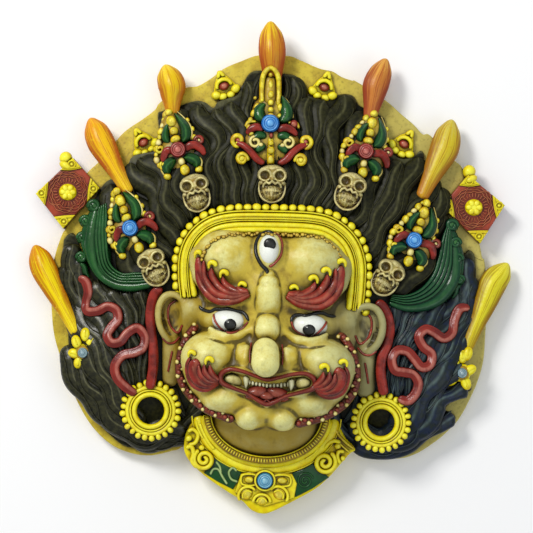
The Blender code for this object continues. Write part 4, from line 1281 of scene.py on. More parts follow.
def stone_bead(form, centre, radius):
    """Round stone with a raised rim."""
    x, y, z = centre
    pebble(form, (x, y, z), (radius, radius, radius * 0.7), subdivisions=4)
    sweep(form, circle(x, y, z + radius * 0.42, radius * 0.76, 28), radius * 0.14, radius * 0.2, closed=True,
          spacing=0.7, around=10)
    pebble(form, (x, y, z + radius * 0.42), (radius * 0.55, radius * 0.55, radius * 0.42), subdivisions=3)


def side_jewel(forms, stone, lean, tone):
    """Jewel of the crown's sides: a bead stack, an edge of beads, leaves, scrolls and a stone."""
    gold, green, red, bed, pale = (forms[k] for k in ("gold", "green", "red", "bed", "pale"))

    def at(u, v, lift=0.0):
        return spot(stone, lean, u, v, lift)

    pebble(bed, at(0, -4, 0), (17, 15, 6.5), turn=lean, subdivisions=4)
    pebble(bed, at(0, 13, 0), (11.5, 16, 6), turn=lean, subdivisions=4)
    for v, rx, ry in ((8.0, 4.1, 3.4), (14.4, 3.5, 3.5), (21.8, 4.2, 5.2), (29.4, 3.3, 3.5)):
        pebble(gold, at(-0.6 + 0.5 * math.sin(v), v, 7.8 - v * 0.07), (rx, ry, 4.0), turn=lean + 6)
        ring_curl(gold, at(-0.6 + 0.5 * math.sin(v), v, 10.2 - v * 0.07), rx * 0.6, 40 + 9 * v, 1, 0.55)
    edge = [at(-3.6, 28.5, 4.6), at(-7, 22, 5.2), at(-10.4, 15, 5.6), at(-13.4, 8, 5.6), at(-16.6, 2.5, 5.2),
            at(-17.2, -5.5, 4.8), at(-14.2, -13, 4.4)]
    for k, (x, y, z, turn) in enumerate(along_path(edge, 4.5)):
        r = 2.5 + 0.5 * math.sin(k * 2.3 + lean)
        pebble(pale if k % 3 == 2 else gold, (x, y, z), (r * 1.15, r * 0.95, r),
               turn=turn + 30 * math.sin(k * 1.7))
    for u, v, radius in ((-13.2, 3.4, 3.0), (-12.6, -9.6, 3.3)):
        ring_curl(gold, at(u, v, 6.4), radius, 120, 1, 1.3)
    inner = [at(-2.6, 22, 5), at(-5.6, 17, 6.4), at(-7.2, 11, 6.4), at(-5, 6, 5)]
    sweep(green, inner, [1.2, 2.8, 3.2, 2.0], 2.6, spacing=0.8, ribs=4, rib=0.2)
    leaf = [at(4.0, 4.0, 5), at(8.0, 8.5, 6.8), at(8.8, 15.5, 6.4), at(6.0, 22, 5.6), at(3.4, 27.5, 5)]
    sweep(green, leaf, [2.4, 4.2, 4.0, 3.0, 1.2], 3.2, spacing=0.8, ribs=4, rib=0.2)
    sweep(pale, [at(6.4, 3.4, 6), at(12.0, 8, 6.4), at(12.6, 15.5, 6.0), at(9.2, 23, 5), at(5.2, 29, 5)],
          [0.5, 1.0, 1.1, 0.9, 0.5], 1.0, spacing=0.8, around=8)
    for u, v, r in ((11.4, 20.5, 1.8), (13.4, 13.0, 2.0), (13.4, 6.6, 2.2)):
        pebble(gold, at(u, v, 5), (r, r * 1.2, r))
    for side in (-1, 1):
        far = 1.0 if side > 0 else 0.68
        volute = [at(side * 4.8, -2.0, 6.5), at(side * 9 * far, 0.8, 8), at(side * 13.6 * far, 0.4, 7.6),
                  at(side * 17.4 * far, -3.8, 6.6), at(side * 18.6 * far, -8.4, 5)]
        sweep(red, volute, [2.4, 3.0, 3.1, 2.7, 1.6], 2.6, spacing=0.8, ribs=2, rib=0.22)
        lower = [at(side * 3.2, -7.0, 5), at(side * 7.6, -8.2, 6.6), at(side * 11.4, -11.6, 6.0),
                 at(side * 10.8, -16.4, 4.6)]
        sweep(green, lower, [2.6, 4.1, 4.2, 2.2], 3.2, spacing=0.8, ribs=4, rib=0.2)
        sweep(pale, [at(side * 6.0, -5.0, 7.0), at(side * 11, -7.0, 6.8), at(side * 15, -11.6, 5.4),
                     at(side * 14, -16.8, 4.6)], [0.5, 1.1, 1.3, 0.9], 1.2, spacing=0.7, around=10)
        pebble(gold, at(side * 12.2, -18.0, 5), (3.0, 2.6, 3.0), turn=lean + 30 * side)
    ring_curl(red, at(16.8, 3.4, 6), 3.4, 200, -1, 1.5)
    pebble(pale, at(16.8, 3.4, 5.6), (2.0, 2.0, 2.2))
    pebble(pale, at(0.8, -9.4, 7.6), (2.6, 3.2, 2.8), turn=lean)
    pebble(gold, at(1.8, -16.2, 6.6), (3.6, 4.4, 3.4), turn=lean)
    stone_bead(forms[tone + "_stone"], at(0, 0, 9), 6.1)


def ring_curl(form, centre, radius, turn, side, thick):
    """Small curl: a bar wound inward a little more than once around."""
    x, y, z = centre
    rows = []
    for k in range(14):
        share = k / 13
        angle = math.radians(turn) + side * share * math.radians(430)
        reach = radius * (1 - 0.62 * share)
        rows.append((x + reach * math.cos(angle), y + reach * math.sin(angle), z + 1.2 * share))
    sweep(form, rows, [thick] * 10 + [thick * 0.9] * 4, spacing=0.6)


def centre_jewel(forms):
    """Jewel over the forehead: looped top, leaves, two pairs of red scrolls and the blue stone."""
    gold, green, red, bed, pale = (forms[k] for k in ("gold", "green", "red", "bed", "pale"))

    def at(x, y, lift=0.0):
        return (x, y, hair_height(x, y) + lift)

    pebble(bed, at(0, 92, 0), (22, 17, 5.5), subdivisions=4)
    pebble(bed, at(-1, 116, 0), (15, 16, 5.5), subdivisions=4)
    pebble(bed, at(-2, 138, 0), (7, 14, 6.5), subdivisions=4)
    loop = [at(-8.0, 124, 5), at(-8.4, 134, 8), at(-7.6, 145, 11), at(-2.2, 151, 12), at(3.2, 145, 11),
            at(4.1, 134, 8), at(4.0, 122, 5)]
    sweep(gold, loop, 2.2, 3.2, spacing=0.8)
    sweep(bed, [at(-2.2, 122, 4.5), at(-2.2, 146, 8.5)], 5.0, 4.0, spacing=1.0)
    for y, rx, ry in ((145.6, 1.7, 1.8), (138.6, 2.1, 4.6), (130.6, 2.4, 3.2), (124.4, 2.3, 2.6),
                      (118.8, 2.2, 2.5), (114.6, 2.4, 2.2)):
        pebble(gold, at(-2.2 + (146 - y) * 0.03, y, 8.6 + max(0, y - 124) * 0.19), (rx, ry, 3.0))
    for x, y, rx, ry, turn in ((-8.4, 126, 2.2, 3.2, -30), (-12, 121.5, 2.1, 3.0, -35),
                               (-14.6, 116, 2.0, 3.2, -15),
                               (-16.6, 110.5, 2.0, 2.8, -10), (-17.6, 105.4, 2.2, 2.4, 0),
                               (5.6, 121, 2.4, 3.6, 8),
                               (5.4, 114.4, 2.0, 2.2, 0), (-13.4, 128, 1.4, 1.4, 0)):
        pebble(gold, at(x, y, 5.5), (rx, ry, 2.4), turn=turn)
    sweep(pale, [at(6.2, 130, 5), at(10.4, 125, 5.8), at(13.4, 118.6, 5.2), at(15.4, 113, 4)],
          [1.2, 1.9, 1.8, 1.0], spacing=0.7)
    sweep(green, [at(-5, 110, 5), at(-9.6, 114, 6.2), at(-9.8, 119.4, 6.2), at(-6, 123.5, 5)],
          [3, 4.4, 4.0, 1.8], 3.0, spacing=0.8, ribs=4, rib=0.12)
    sweep(green, [at(5, 110, 5), at(10.4, 114, 6.2), at(10.0, 121, 6.2), at(6.8, 129.5, 5)],
          [3, 4.6, 4.4, 1.4], 3.0, spacing=0.8, ribs=4, rib=0.12)
    for side in (-1, 1):
        sweep(red, [at(-1.5 + side * 5, 103, 6), at(-1 + side * 10, 105.4, 7.4),
                    at(-0.6 + side * 15, 104, 6.8),
                    at(side * 19, 100, 5)], [2.6, 3.1, 3.0, 1.6], 2.6, spacing=0.8, ribs=2, rib=0.12)
        sweep(gold, [at(side * 12, 109.6, 5), at(side * 17.4, 109.4, 5.6), at(side * 20.4, 105.6, 5)],
              [1.0, 1.7, 1.1], 1.8, spacing=0.8)
        sweep(red, [at(side * 27, 93.5, 5), at(side * 21.5, 91.5, 6.4), at(side * 16, 87, 6.8),
                    at(side * 11, 81.4, 6.4), at(side * 5, 77.6, 5)], [2.0, 2.5, 2.7, 2.7, 2.0], 2.6,
              spacing=0.8, ribs=2, rib=0.12)
        sweep(pale, [at(side * 22.5, 93.4, 7), at(side * 17.6, 90, 8), at(side * 12.8, 84.6, 8),
                     at(side * 7, 80, 7)],
              [0.3, 0.6, 0.6, 0.3], 0.7, spacing=0.8, around=8)
        sweep(green, [at(side * 4, 98.5, 5), at(side * 9.5, 99.4, 6.4), at(side * 14.6, 95.8, 5.6)],
              [2.4, 3.4, 2.0], 2.8, spacing=0.8)
        sweep(green, [at(side * 4.4, 91.4, 5), at(side * 8.6, 90.2, 6), at(side * 11.4, 86.4, 5.2)],
              [2.4, 3.4, 2.0], 2.6, spacing=0.8)
        ring_curl(gold, at(side * 25.6, 95.4, 5.4), 4.6, 250 if side > 0 else -70, side, 1.9)
        pebble(red, at(side * 25.4, 95.2, 6), (2.2, 2.2, 2.0))
        ring_curl(gold, at(side * 22, 81.3, 4.8), 4.3, 200 if side > 0 else -20, -side, 1.9)
        pebble(gold, at(side * 22, 81.3, 6.0), (2.4, 2.4, 2.4))
        ring_curl(pale, at(side * 12.4, 94, 7), 4.4, 90, -side, 1.3)
        pebble(pale, at(side * 8.2, 92.2, 8), (1.8, 1.6, 1.4))
    pebble(red, at(16.2, 108.4, 6), (3.2, 3.4, 3))
    pebble(gold, at(-15.4, 100.4, 5.5), (2.4, 2.0, 2.4))
    for y, rx, ry in ((99.4, 1.5, 2.6), (93.6, 2.0, 2.2), (88, 3.0, 3.0), (81, 2.6, 3.6)):
        pebble(red if y > 95 else gold, at(-0.6, y, 7.4), (rx, ry, 2.4))
    sweep(gold, [at(-1, 99, 4), at(-0.5, 76, 4)], 2.9, 3.2, spacing=1.0)
    stone_bead(forms["blue_stone"], at(-1.5, 108.5, 9), 6.8)


def make_jewels(paints):
    """The centre jewel and the four side jewels, gathered by paint."""
    forms = {name: new_form() for name in ("gold", "green", "red", "bed", "pale", "red_stone", "blue_stone")}
    centre_jewel(forms)
    for (x, y), lean, tone in JEWELS:
        side_jewel(forms, (x, y), lean, tone)
    piece("jewel_gold", forms["gold"], paints["jewel_gold"])
    piece("jewel_leaves", forms["green"], paints["green"])
    piece("jewel_scrolls", forms["red"], paints["red"])
    piece("jewel_rims", forms["pale"], paints["pale_gold"])
    piece("jewel_beds", forms["bed"], paints["bed"])
    piece("red_stones", forms["red_stone"], paints["stone_red"])
    piece("blue_stones", forms["blue_stone"], paints["stone_blue"])


# ---------------------------------------------------------------- flames, plaques, studs, flowers

# Name, root, belly, tip, half width at the belly and height of its middle
FLAMES = [("top", (0, 127), (-1.5, 164), (-3.5, 187), 10.4, 26),
          ("upper_left", (-76, 112), (-77, 136), (-83, 152.5), 10.6, 20),
          ("upper_right", (73, 110), (78, 141), (85.5, 161.5), 10.0, 20),
          ("left", (-107, 53), (-130, 92), (-139, 110.5), 10.6, 18),
          ("right", (114, 55), (131.5, 94), (137, 116.5), 11.2, 18),
          ("lower_left", (-144, -54), (-171, -6), (-179.2, 12.5), 10.0, 14),
          ("lower_right", (151, -60), (171.5, -8), (183, 8), 10.4, 14)]


def make_flames(paints):
    """Seven flame leaves, each on its own root, belly and tip."""
    for name, low, belly, tip, half, height in FLAMES:
        form = new_form()
        low, belly, tip = (np.array(p, float) for p in (low, belly, tip))
        path = [low, low + (belly - low) * 0.35, low + (belly - low) * 0.7, belly,
                belly + (tip - belly) * 0.5, belly + (tip - belly) * 0.8, tip]
        widths = np.array([0.42, 0.58, 0.84, 1.0, 0.86, 0.5, 0.16]) * half
        start = hair_height(*low) - (2 if name == "top" else -2)
        zs = np.interp([0, 0.35, 0.7, 1, 1.3, 1.5, 1.6], [0, 1, 1.6], [start, height, height - 4])
        rows = [(*p, z) for p, z in zip(path, zs)]
        sweep(form, rows, widths, widths * 0.62, around=32, spacing=1.2, ribs=4, rib=0.1, ends=(0.6, 1.0))
        piece("flame_" + name, form, paints["flame_" + name])


def make_plaques(paints):
    """Two square plaques: ringed and rayed field, flower in the middle, corners and a knob."""
    red, gold = new_form(), new_form()
    for corners, knob in (([(-178.5, 51.5), (-157, 25.5), (-130, 57), (-151, 79.5)], (-156.6, 79.2)),
                          ([(130.5, 50), (160.5, 22.5), (178.5, 52), (150, 74.5)], (151, 77))):
        cx, cy = np.mean(corners, axis=0)
        slab(red, corners, 3, 18.0, bevel=1.2)
        for n, reach in enumerate((12.0, 13.7, 15.4)):
            angles = np.linspace(0, math.tau, 60, endpoint=False)
            ring = reach + 0.5 * np.sin(13 * angles + 2 * n) + 0.3 * np.sin(7 * angles + n)
            sweep(red, [(cx + r * math.cos(a), cy + r * math.sin(a), 17.9) for r, a in zip(ring, angles)],
                  0.6, 0.9, closed=True, spacing=0.8, around=8)
        for k in range(26):
            angle = math.tau * k / 26
            sweep(red, [(cx + r * math.cos(angle), cy + r * math.sin(angle), 18.0) for r in (7.6, 11.2)],
                  0.6, 0.9, spacing=0.8, around=8)
        pebble(gold, (cx, cy, 18.0), (6.8, 6.4, 3.2), subdivisions=4)
        for k in range(6):
            angle = math.tau * k / 6
            pebble(gold, (cx + 3.6 * math.cos(angle), cy + 3.4 * math.sin(angle), 19.6), (3.0, 2.5, 2.2),
                   turn=math.degrees(angle))
        for k, corner in enumerate(corners):
            before, after = np.array(corners[k - 1]), np.array(corners[(k + 1) % 4])
            corner = np.array(corner)
            middle = corner + (np.array((cx, cy)) - corner) * 0.36
            a, b = corner + (before - corner) * 0.34, corner + (after - corner) * 0.34
            inner = [b, middle + (b - a) * 0.12, middle - (b - a) * 0.12, a]
            slab(gold, [tuple(corner), *map(tuple, inner)], 16.5, 19.6, bevel=0.8, proud=0.7)
            heart = corner + (np.array((cx, cy)) - corner) * 0.19
            sweep(gold, [(*(corner + (p - corner) * 0.84), 19.5) for p in inner], 0.6, 1.0, spacing=0.8,
                  around=8)
            sweep(gold, circle(*heart, 19.4, 2.7, 16), 0.75, 1.2, closed=True, spacing=0.8, around=8)
            pebble(gold, (*heart, 19.3), (1.5, 1.3, 1.3))
        pebble(gold, (*knob, 14), (5.0, 5.2, 5.4), subdivisions=4)
        root = np.array(knob) + (np.array((cx, cy)) - knob) * 0.22
        pebble(gold, (*root, 16.5), (5.6, 3.4, 4.5), turn=-25 if cx < 0 else 25)
    piece("plaque_fields", red, paints["plaque_red"])
    piece("plaque_gold", gold, paints["gold"])


def make_studs(paints):
    """Small pointed ornaments on the plate and flowers under the side flames."""
    gold, red, back, blue, disc = (new_form() for _ in range(5))
    for x, y, lean in ((-37, 136, 20), (38.5, 137, -14), (-97, 91.5, 32), (100, 95.5, -30)):
        turn = math.radians(lean)

        def at(u, v, z):
            return (x + u * math.cos(turn) - v * math.sin(turn), y + u * math.sin(turn) + v * math.cos(turn),
                    z)
        slab(back, [at(u, v, 0)[:2] for u, v in ((-11, -5), (-6, -8), (6, -8), (11, -4), (6.5, 5), (0.5, 14),
                                                 (-6, 6))], 9, 15.5, bevel=1.6)
        for u, v, r in ((-7.8, -3.6, 4.0), (-3.2, -6.2, 3.6), (2.8, -6.4, 3.6), (7.6, -3.4, 4.0)):
            pebble(gold, at(u, v, 15.5), (r, r * 0.85, 3.6), turn=lean + 20 * math.sin(u))
        pebble(red, at(0, 1.2, 16.5), (4.0, 3.2, 3.4), turn=lean)
        sweep(gold, [at(-6, 0.5, 15.5), at(-4.2, 4.6, 16.5), at(0, 6.4, 16.8), at(4.2, 4.6, 16.5),
                     at(6, 0.5, 15.5)], 1.7, 1.9, spacing=0.8)
        sweep(gold, [at(-2.4, 8, 15), at(0, 12.4, 15.5), at(2.4, 8, 15)], 1.7, 1.9, spacing=0.8)
    petals = (((-138.5, -68),
               ((-5.3, 8.3, 20), (1.5, 14.4, 0), (6, 8.3, -30), (8.3, 3.2, -70), (-6.4, -0.8, 80),
                (-3, -7.2, -20), (4.5, -8.0, 25))),
              ((148.5, -76),
               ((-10.2, 4.8, 70), (-6.4, 9.4, 40), (0, 13.2, 0), (4.2, 15.5, -15), (-7.9, -6.0, -50),
                (-4.6, -2.4, 60), (6.2, 2.4, -60), (3.6, -8.0, 20))))
    for (x, y), leaves in petals:
        z = max(hair_height(x, y), 22) + 2
        pebble(gold, (x, y, z - 1), (7, 7.4, 4))
        pebble(disc, (x, y, z + 1.4), (5.6, 5.6, 2.6))
        for u, v, turn in leaves:
            a = math.radians(turn)
            pebble(gold, (x + u * 0.94, y + v * 0.94, z), (3.9, 5.6, 3.0), turn=turn)
            sweep(gold, [(x + u + 2.8 * math.sin(a), y + v - 2.8 * math.cos(a), z + 2.6),
                         (x + u - 3.4 * math.sin(a), y + v + 3.4 * math.cos(a), z + 2.3)], [0.9, 0.4], 0.8,
                  spacing=0.8, around=8)
        stone_bead(blue, (x, y, z + 3.0), 3.9)
    piece("stud_gold", gold, paints["gold"])
    piece("stud_hearts", red, paints["red"])
    piece("stud_backs", back, paints["gold"])
    piece("flower_discs", disc, paints["old_gold"])
    piece("flower_stones", blue, paints["stone_grey"])


# ---------------------------------------------------------------- scarves, ribbons, necklace

# Inner and outer edge of each scarf, its scrolls (x, y, radius), and the courses of the ribbons
SCARF_LEFT = ([(-88, -6), (-100, -6.5), (-111, -7), (-120.5, 2), (-123, 24), (-123, 36), (-124, 46)],
              [(-86.8, -17.7), (-104.9, -20.7), (-120, -17.7), (-132, -8.6), (-138, 5), (-138, 20),
               (-134, 40)])
SCARF_RIGHT = ([(93, -18), (105, -18), (116, -12.5), (124.6, -1.6), (128.7, 12), (131.4, 26), (135, 37)],
               [(91, -26), (104, -30.5), (119, -30), (133, -24), (143, -12), (145.5, 0), (143.5, 17),
                (139, 32)])
VOLUTES_LEFT = [(-133.5, 43, 5.2), (-139.5, 31.5, 4.8), (-141.5, 19, 4.6), (-142, 4, 4.4)]
VOLUTES_RIGHT = [(138.2, 35.6, 5.0), (141.4, 22.4, 4.5), (143.2, 10.4, 4.6), (145.2, -5.4, 4.0)]
RIBBON_LEFT = [(-144, -11.5), (-138.5, -14), (-136, -22), (-137.5, -31), (-136, -36.5), (-128, -36),
               (-121, -32.5), (-114, -35), (-112.5, -42), (-117, -48), (-120, -54), (-116.5, -59.5),
               (-110, -58.5), (-105, -52), (-97.5, -48), (-91.5, -54), (-92.5, -62.5), (-99, -66.5),
               (-108, -69), (-113.5, -77), (-111.5, -86), (-104.5, -93), (-97, -98)]
RIBBON_RIGHT = [(153.5, -26.5), (146, -27.5), (142, -36), (140, -46), (133.5, -50), (126, -45.5),
                (119.5, -43.5), (114.5, -49), (118, -56.5), (124.5, -62), (123.5, -70), (117, -72),
                (111.5, -66), (106, -60.5), (98.5, -60), (94.5, -66.5), (97, -74.5), (104, -76), (111, -77.5),
                (115, -84), (113, -92), (107.5, -97.5), (100, -96)]


def make_scarves(paints):
    """Green scarves with ridges along them and scrolls on the outer edge."""
    form = new_form()
    for (inner, outer), volutes, side in ((SCARF_LEFT, VOLUTES_LEFT, -1), (SCARF_RIGHT, VOLUTES_RIGHT, 1)):
        a = curve_through(inner, 8)
        b = curve_through(outer, 8)
        share = np.linspace(0, 1, 50)
        a, b = (np.column_stack([np.interp(share, np.linspace(0, 1, len(p)), p[:, k]) for k in range(2)])
                for p in (a, b))
        gap = np.linalg.norm(a - b, axis=1)
        sweep(form, [(x, y, hair_height(x, y) + 1.5) for x, y in (a + b) / 2], gap / 2, 4.4, around=24)
        for place, part, crest in ((0.05, 0.07, 5.0), (0.2, 0.08, 5.6), (0.35, 0.08, 6.0), (0.5, 0.075, 6.0),
                                   (0.76, 0.23, 4.6)):
            rows = a + (b - a) * place
            width = np.clip(gap * part, 0.7, 6.0)
            sweep(form, [(x, y, hair_height(x, y) + crest) for x, y in rows], width,
                  np.maximum(width * 0.8, 1.3), spacing=1.4, around=14)
        for x, y, r in volutes:
            z = hair_height(x, y) + 4.4
            ring_curl(form, (x, y, z + 1.4), r * 0.86, 200 if side < 0 else -20, side, r * 0.36)
            pebble(form, (x, y, z - 0.8), (r * 1.1, r * 1.1, 4))
            crest = [(x + side * 0.2 * r, y - r * 0.9, z), (x - side * 0.5 * r, y - r * 1.6, z),
                     (x - side * 0.7 * r, y - r * 2.6, z - 0.5), (x - side * 1.3 * r, y - r * 3.6, z - 1)]
            sweep(form, crest, [r * 0.42, r * 0.5, r * 0.5, r * 0.3], spacing=0.8)
    piece("scarves", form, paints["green"])


def make_ribbons(paints):
    """Red ribbons that wind down beside the ears."""
    form = new_form()
    for points in (RIBBON_LEFT, RIBBON_RIGHT):
        rows = [(x, y, hair_height(x, y) + 5.2 + 0.8 * math.sin(k * 1.3)) for k, (x, y) in enumerate(points)]
        widths = np.full(len(points), 3.5)
        widths[0], widths[-1] = 2.4, 2.8
        sweep(form, rows, widths * 1.06, 2.2, around=24, spacing=0.9, ribs=3, rib=0.26)
    piece("ribbons", form, paints["ribbon_red"])


# Outline of the collar's plate
APRON = [(-47, -114), (-58, -124), (-60.5, -134), (-60, -142), (-55, -150), (-46, -158), (-37, -164.5),
         (-25, -172), (-15, -178), (-8, -184.5), (0, -187), (8, -185), (25, -176), (40, -167), (50, -158),
         (58, -148.5), (65, -140), (69.5, -136), (62, -128), (50, -116), (0, -118)]


COLLAR_MIDDLE = (1.5, -111)     # middle of the collar's rings
COLLAR_ARC = (183, 357)         # where they start and end, in degrees
COLLAR_STONE = (1.5, -161.3)


def collar_path(reach_x, reach_y, z, count=25):
    """Lower half of an ellipse around the neck."""
    start, end = COLLAR_ARC
    rows = []
    for k in range(count):
        angle = math.radians(start + (end - start) * k / (count - 1))
        rows.append((COLLAR_MIDDLE[0] + reach_x * math.cos(angle),
                     COLLAR_MIDDLE[1] + reach_y * math.sin(angle), z))
    return rows


def spiral(form, x, y, z, radius, turns, start, side, thick):
    """Flat scroll wound inward by a number of turns."""
    rows = []
    count = int(14 * turns)
    for k in range(count + 1):
        share = k / count
        angle = math.radians(start) + side * share * turns * math.tau
        reach = radius * (1 - 0.88 * share)
        rows.append((x + reach * math.cos(angle), y + reach * math.sin(angle), z))
    sweep(form, rows, thick, thick * 1.2, spacing=0.7, around=10)


def collar_rings(gold, bright, brown):
    """Rings around the neck, with a groove of small ticks between two of them."""
    sweep(gold, collar_path(47.0, 37.0, 24.5), 4.2, 5.0, around=16)
    sweep(gold, collar_path(51.6, 41.2, 24.2), 4.6, 2.6, around=18)
    sweep(gold, collar_path(56.6, 46.0, 23.8), 0.8, 1.4)
    sweep(gold, collar_path(47.6, 37.2, 29), 0.8, 2.2)
    sweep(brown, collar_path(44.8, 34.6, 30.5), 3.0, 3.4, around=16)
    sweep(gold, collar_path(42.2, 32.2, 31.5), 0.8, 2.2)
    for x, y, z, turn in along_path(collar_path(44.9, 34.7, 34.0, 60), 2.15, 2.0):
        pebble(bright, (x, y, z), (0.72, 1.75, 0.9), turn=turn, subdivisions=2)


def collar_panels(green, lines, dark_lines):
    """Green panels at both sides of the stone, with painted tendrils."""
    for panel in ([(-36, -143), (-26, -149.5), (-16, -156), (-19, -163), (-22.5, -169), (-34, -163.5),
                   (-45, -157)],
                  [(22, -155), (30, -152), (37.5, -147.5), (44, -153), (50, -158), (38, -166.5),
                   (25, -173.5)]):
        slab(green, panel, 20, 24.6, bevel=0.9, proud=0.5)
    for path in ([(-40, -158), (-38, -154), (-34, -154), (-31, -159), (-27, -165)],
                 [(-36, -148), (-33, -152), (-32, -157)],
                 [(-19, -163), (-24, -161), (-26, -156), (-23, -152.5), (-20, -155)]):
        sweep(lines, [(x, y, 24.7) for x, y in path], 0.95, 0.9, spacing=0.7)
    spiral(dark_lines, 32, -161, 24.6, 6.5, 2.0, 20, 1, 0.8)


def collar_scrolls(gold):
    """Scrolls, tendrils and knobs at the two ends of the collar."""
    spiral(gold, -45, -146.5, 25.5, 8.0, 2.0, 120, 1, 1.9)
    spiral(gold, 46.5, -146.5, 25.5, 8.6, 2.0, 60, -1, 1.9)
    for path, half in (([(-58, -126), (-54, -124), (-50, -128), (-52, -134), (-57, -136)], 1.6),
                       ([(-59, -138), (-55, -137), (-53, -142), (-54, -148), (-50, -153)], 1.8),
                       ([(-49, -119), (-46, -126), (-42, -133), (-37, -139)], 1.8),
                       ([(-52, -117), (-50, -124), (-46, -131)], 1.3),
                       ([(58, -131), (53, -130), (49, -132), (46, -136)], 1.6),
                       ([(61, -138), (57, -138), (56, -142), (58, -147)], 1.5),
                       ([(42, -134), (38, -140), (31, -145)], 1.5)):
        sweep(gold, [(x, y, 25.5) for x, y in path], half, half * 1.3, spacing=0.8)
    for x, y, r in ((-57, -131, 2.6), (-47, -138, 2.4), (56, -134, 2.6), (60, -143, 2.2)):
        pebble(gold, (x, y, 24.5), r)


def collar_boss(gold, bright, blue):
    """Raised middle of the collar: framed beads, the blue stone and three petals."""
    slab(gold, [(-17, -157), (-6, -153), (8, -153), (22, -156), (26, -163), (24, -174), (2, -181),
                (-21, -171)],
         20, 25.4, bevel=1.2, proud=0.7)
    for x, half in ((-10.5, 5.0), (14.5, 5.4)):
        pebble(bright, (x, -161, 26), (half * 0.75, 2.6, 2.4))
        frame_line = [(x - half, -157.6, 26), (x + half, -157.6, 26), (x + half, -164.6, 26),
                      (x - half, -164.6, 26)]
        sweep(gold, frame_line, 0.9, 1.2, closed=True, spacing=0.8)
    sweep(gold, circle(*COLLAR_STONE, 26.8, 7.2), 1.1, 1.9, closed=True, spacing=0.8)
    stone_bead(blue, (*COLLAR_STONE, 27.3), 6.1)
    for x, y, half, turn in ((-12.5, -171.5, 7.0, 35), (-0.5, -176, 6.5, 0), (13, -171, 7.4, -35)):
        a = math.radians(turn)
        for reach, thick in ((1.0, 1.2), (0.55, 0.9)):
            arc = []
            for k in range(11):
                angle = math.radians(180 * k / 10)
                u, v = half * reach * math.cos(angle), half * 0.95 * reach * math.sin(angle) - 2
                arc.append((x + u * math.cos(a) - v * math.sin(a), y + u * math.sin(a) + v * math.cos(a),
                            26.4))
            sweep(gold, arc, thick, thick * 1.2, spacing=0.8)
        pebble(bright, (x, y, 25.2), (half * 0.72, half * 0.66, 2.0), turn=turn)


def make_necklace(paints):
    """Collar with its apron, cut out over the hollow of the back."""
    gold, bright, green, lines, dark_lines, blue, brown, body = (new_form() for _ in range(8))
    slab(body, curve_through(APRON, 4, closed=True), 0, 23.5, bevel=1.8)
    collar = thing_from(body, "collar")
    combine(collar, hollow_tool(LINING), "DIFFERENCE")
    collar_rings(gold, bright, brown)
    collar_panels(green, lines, dark_lines)
    collar_scrolls(gold)
    collar_boss(gold, bright, blue)
    for path, half in (([(52, -117), (56, -125), (62, -131), (68.4, -135.6)], 1.1),
                       ([(49.5, -119), (53, -127), (59, -133.5), (65, -138.5)], 0.8)):
        sweep(bright, [(x, y, 24.6) for x, y in path], half, half * 1.4, spacing=0.8)
    piece("collar", collar, paints["gold"])
    piece("collar_relief", gold, paints["gold"])
    piece("collar_ticks", bright, paints["jewel_gold"])
    piece("collar_groove", brown, paints["bed"])
    piece("collar_spiral", dark_lines, paints["green"])
    piece("collar_panels", green, paints["green"])
    piece("collar_lines", lines, paints["pale_green"])
    piece("collar_stone", blue, paints["stone_blue_pale"])


# ---------------------------------------------------------------- finishes

def srgb(red, green, blue):
    """Linear colour of a paint-chart triple, for a property."""
    return colour((red, green, blue))[:3]


def swatch(label, rgb):
    """Colour property with a paint-chart default."""
    return FloatVectorProperty(name=label, description=f"Main paint colour of the {label.lower()}",
                               subtype="COLOR", size=3, min=0.0, max=1.0, default=srgb(*rgb))


class MaskPaints(bpy.types.PropertyGroup):
    """Main paint colours."""

    gold: swatch("Gold", (236, 220, 10))
    skin: swatch("Skin", (226, 222, 144))
    hair: swatch("Hair", (27, 28, 12))
    blue_hair: swatch("Right side hair", (20, 31, 30))
    red: swatch("Red", (150, 46, 34))
    green: swatch("Green", (20, 76, 30))
    plate: swatch("Halo plate", (208, 186, 52))
    bone: swatch("Skulls", (190, 174, 92))


class MaskSizes(bpy.types.PropertyGroup):
    """Sizes that change how fine the relief is."""

    head_grain: FloatProperty(name="Head grain", description="Spacing of the points of the face",
                              default=1.05 * MM, min=0.9 * MM, max=4 * MM, subtype="DISTANCE", unit="LENGTH")
    lock_width: FloatProperty(name="Lock width", description="Half width of a lock of hair at its middle",
                              default=6.6 * MM, min=3 * MM, max=9 * MM, subtype="DISTANCE", unit="LENGTH")


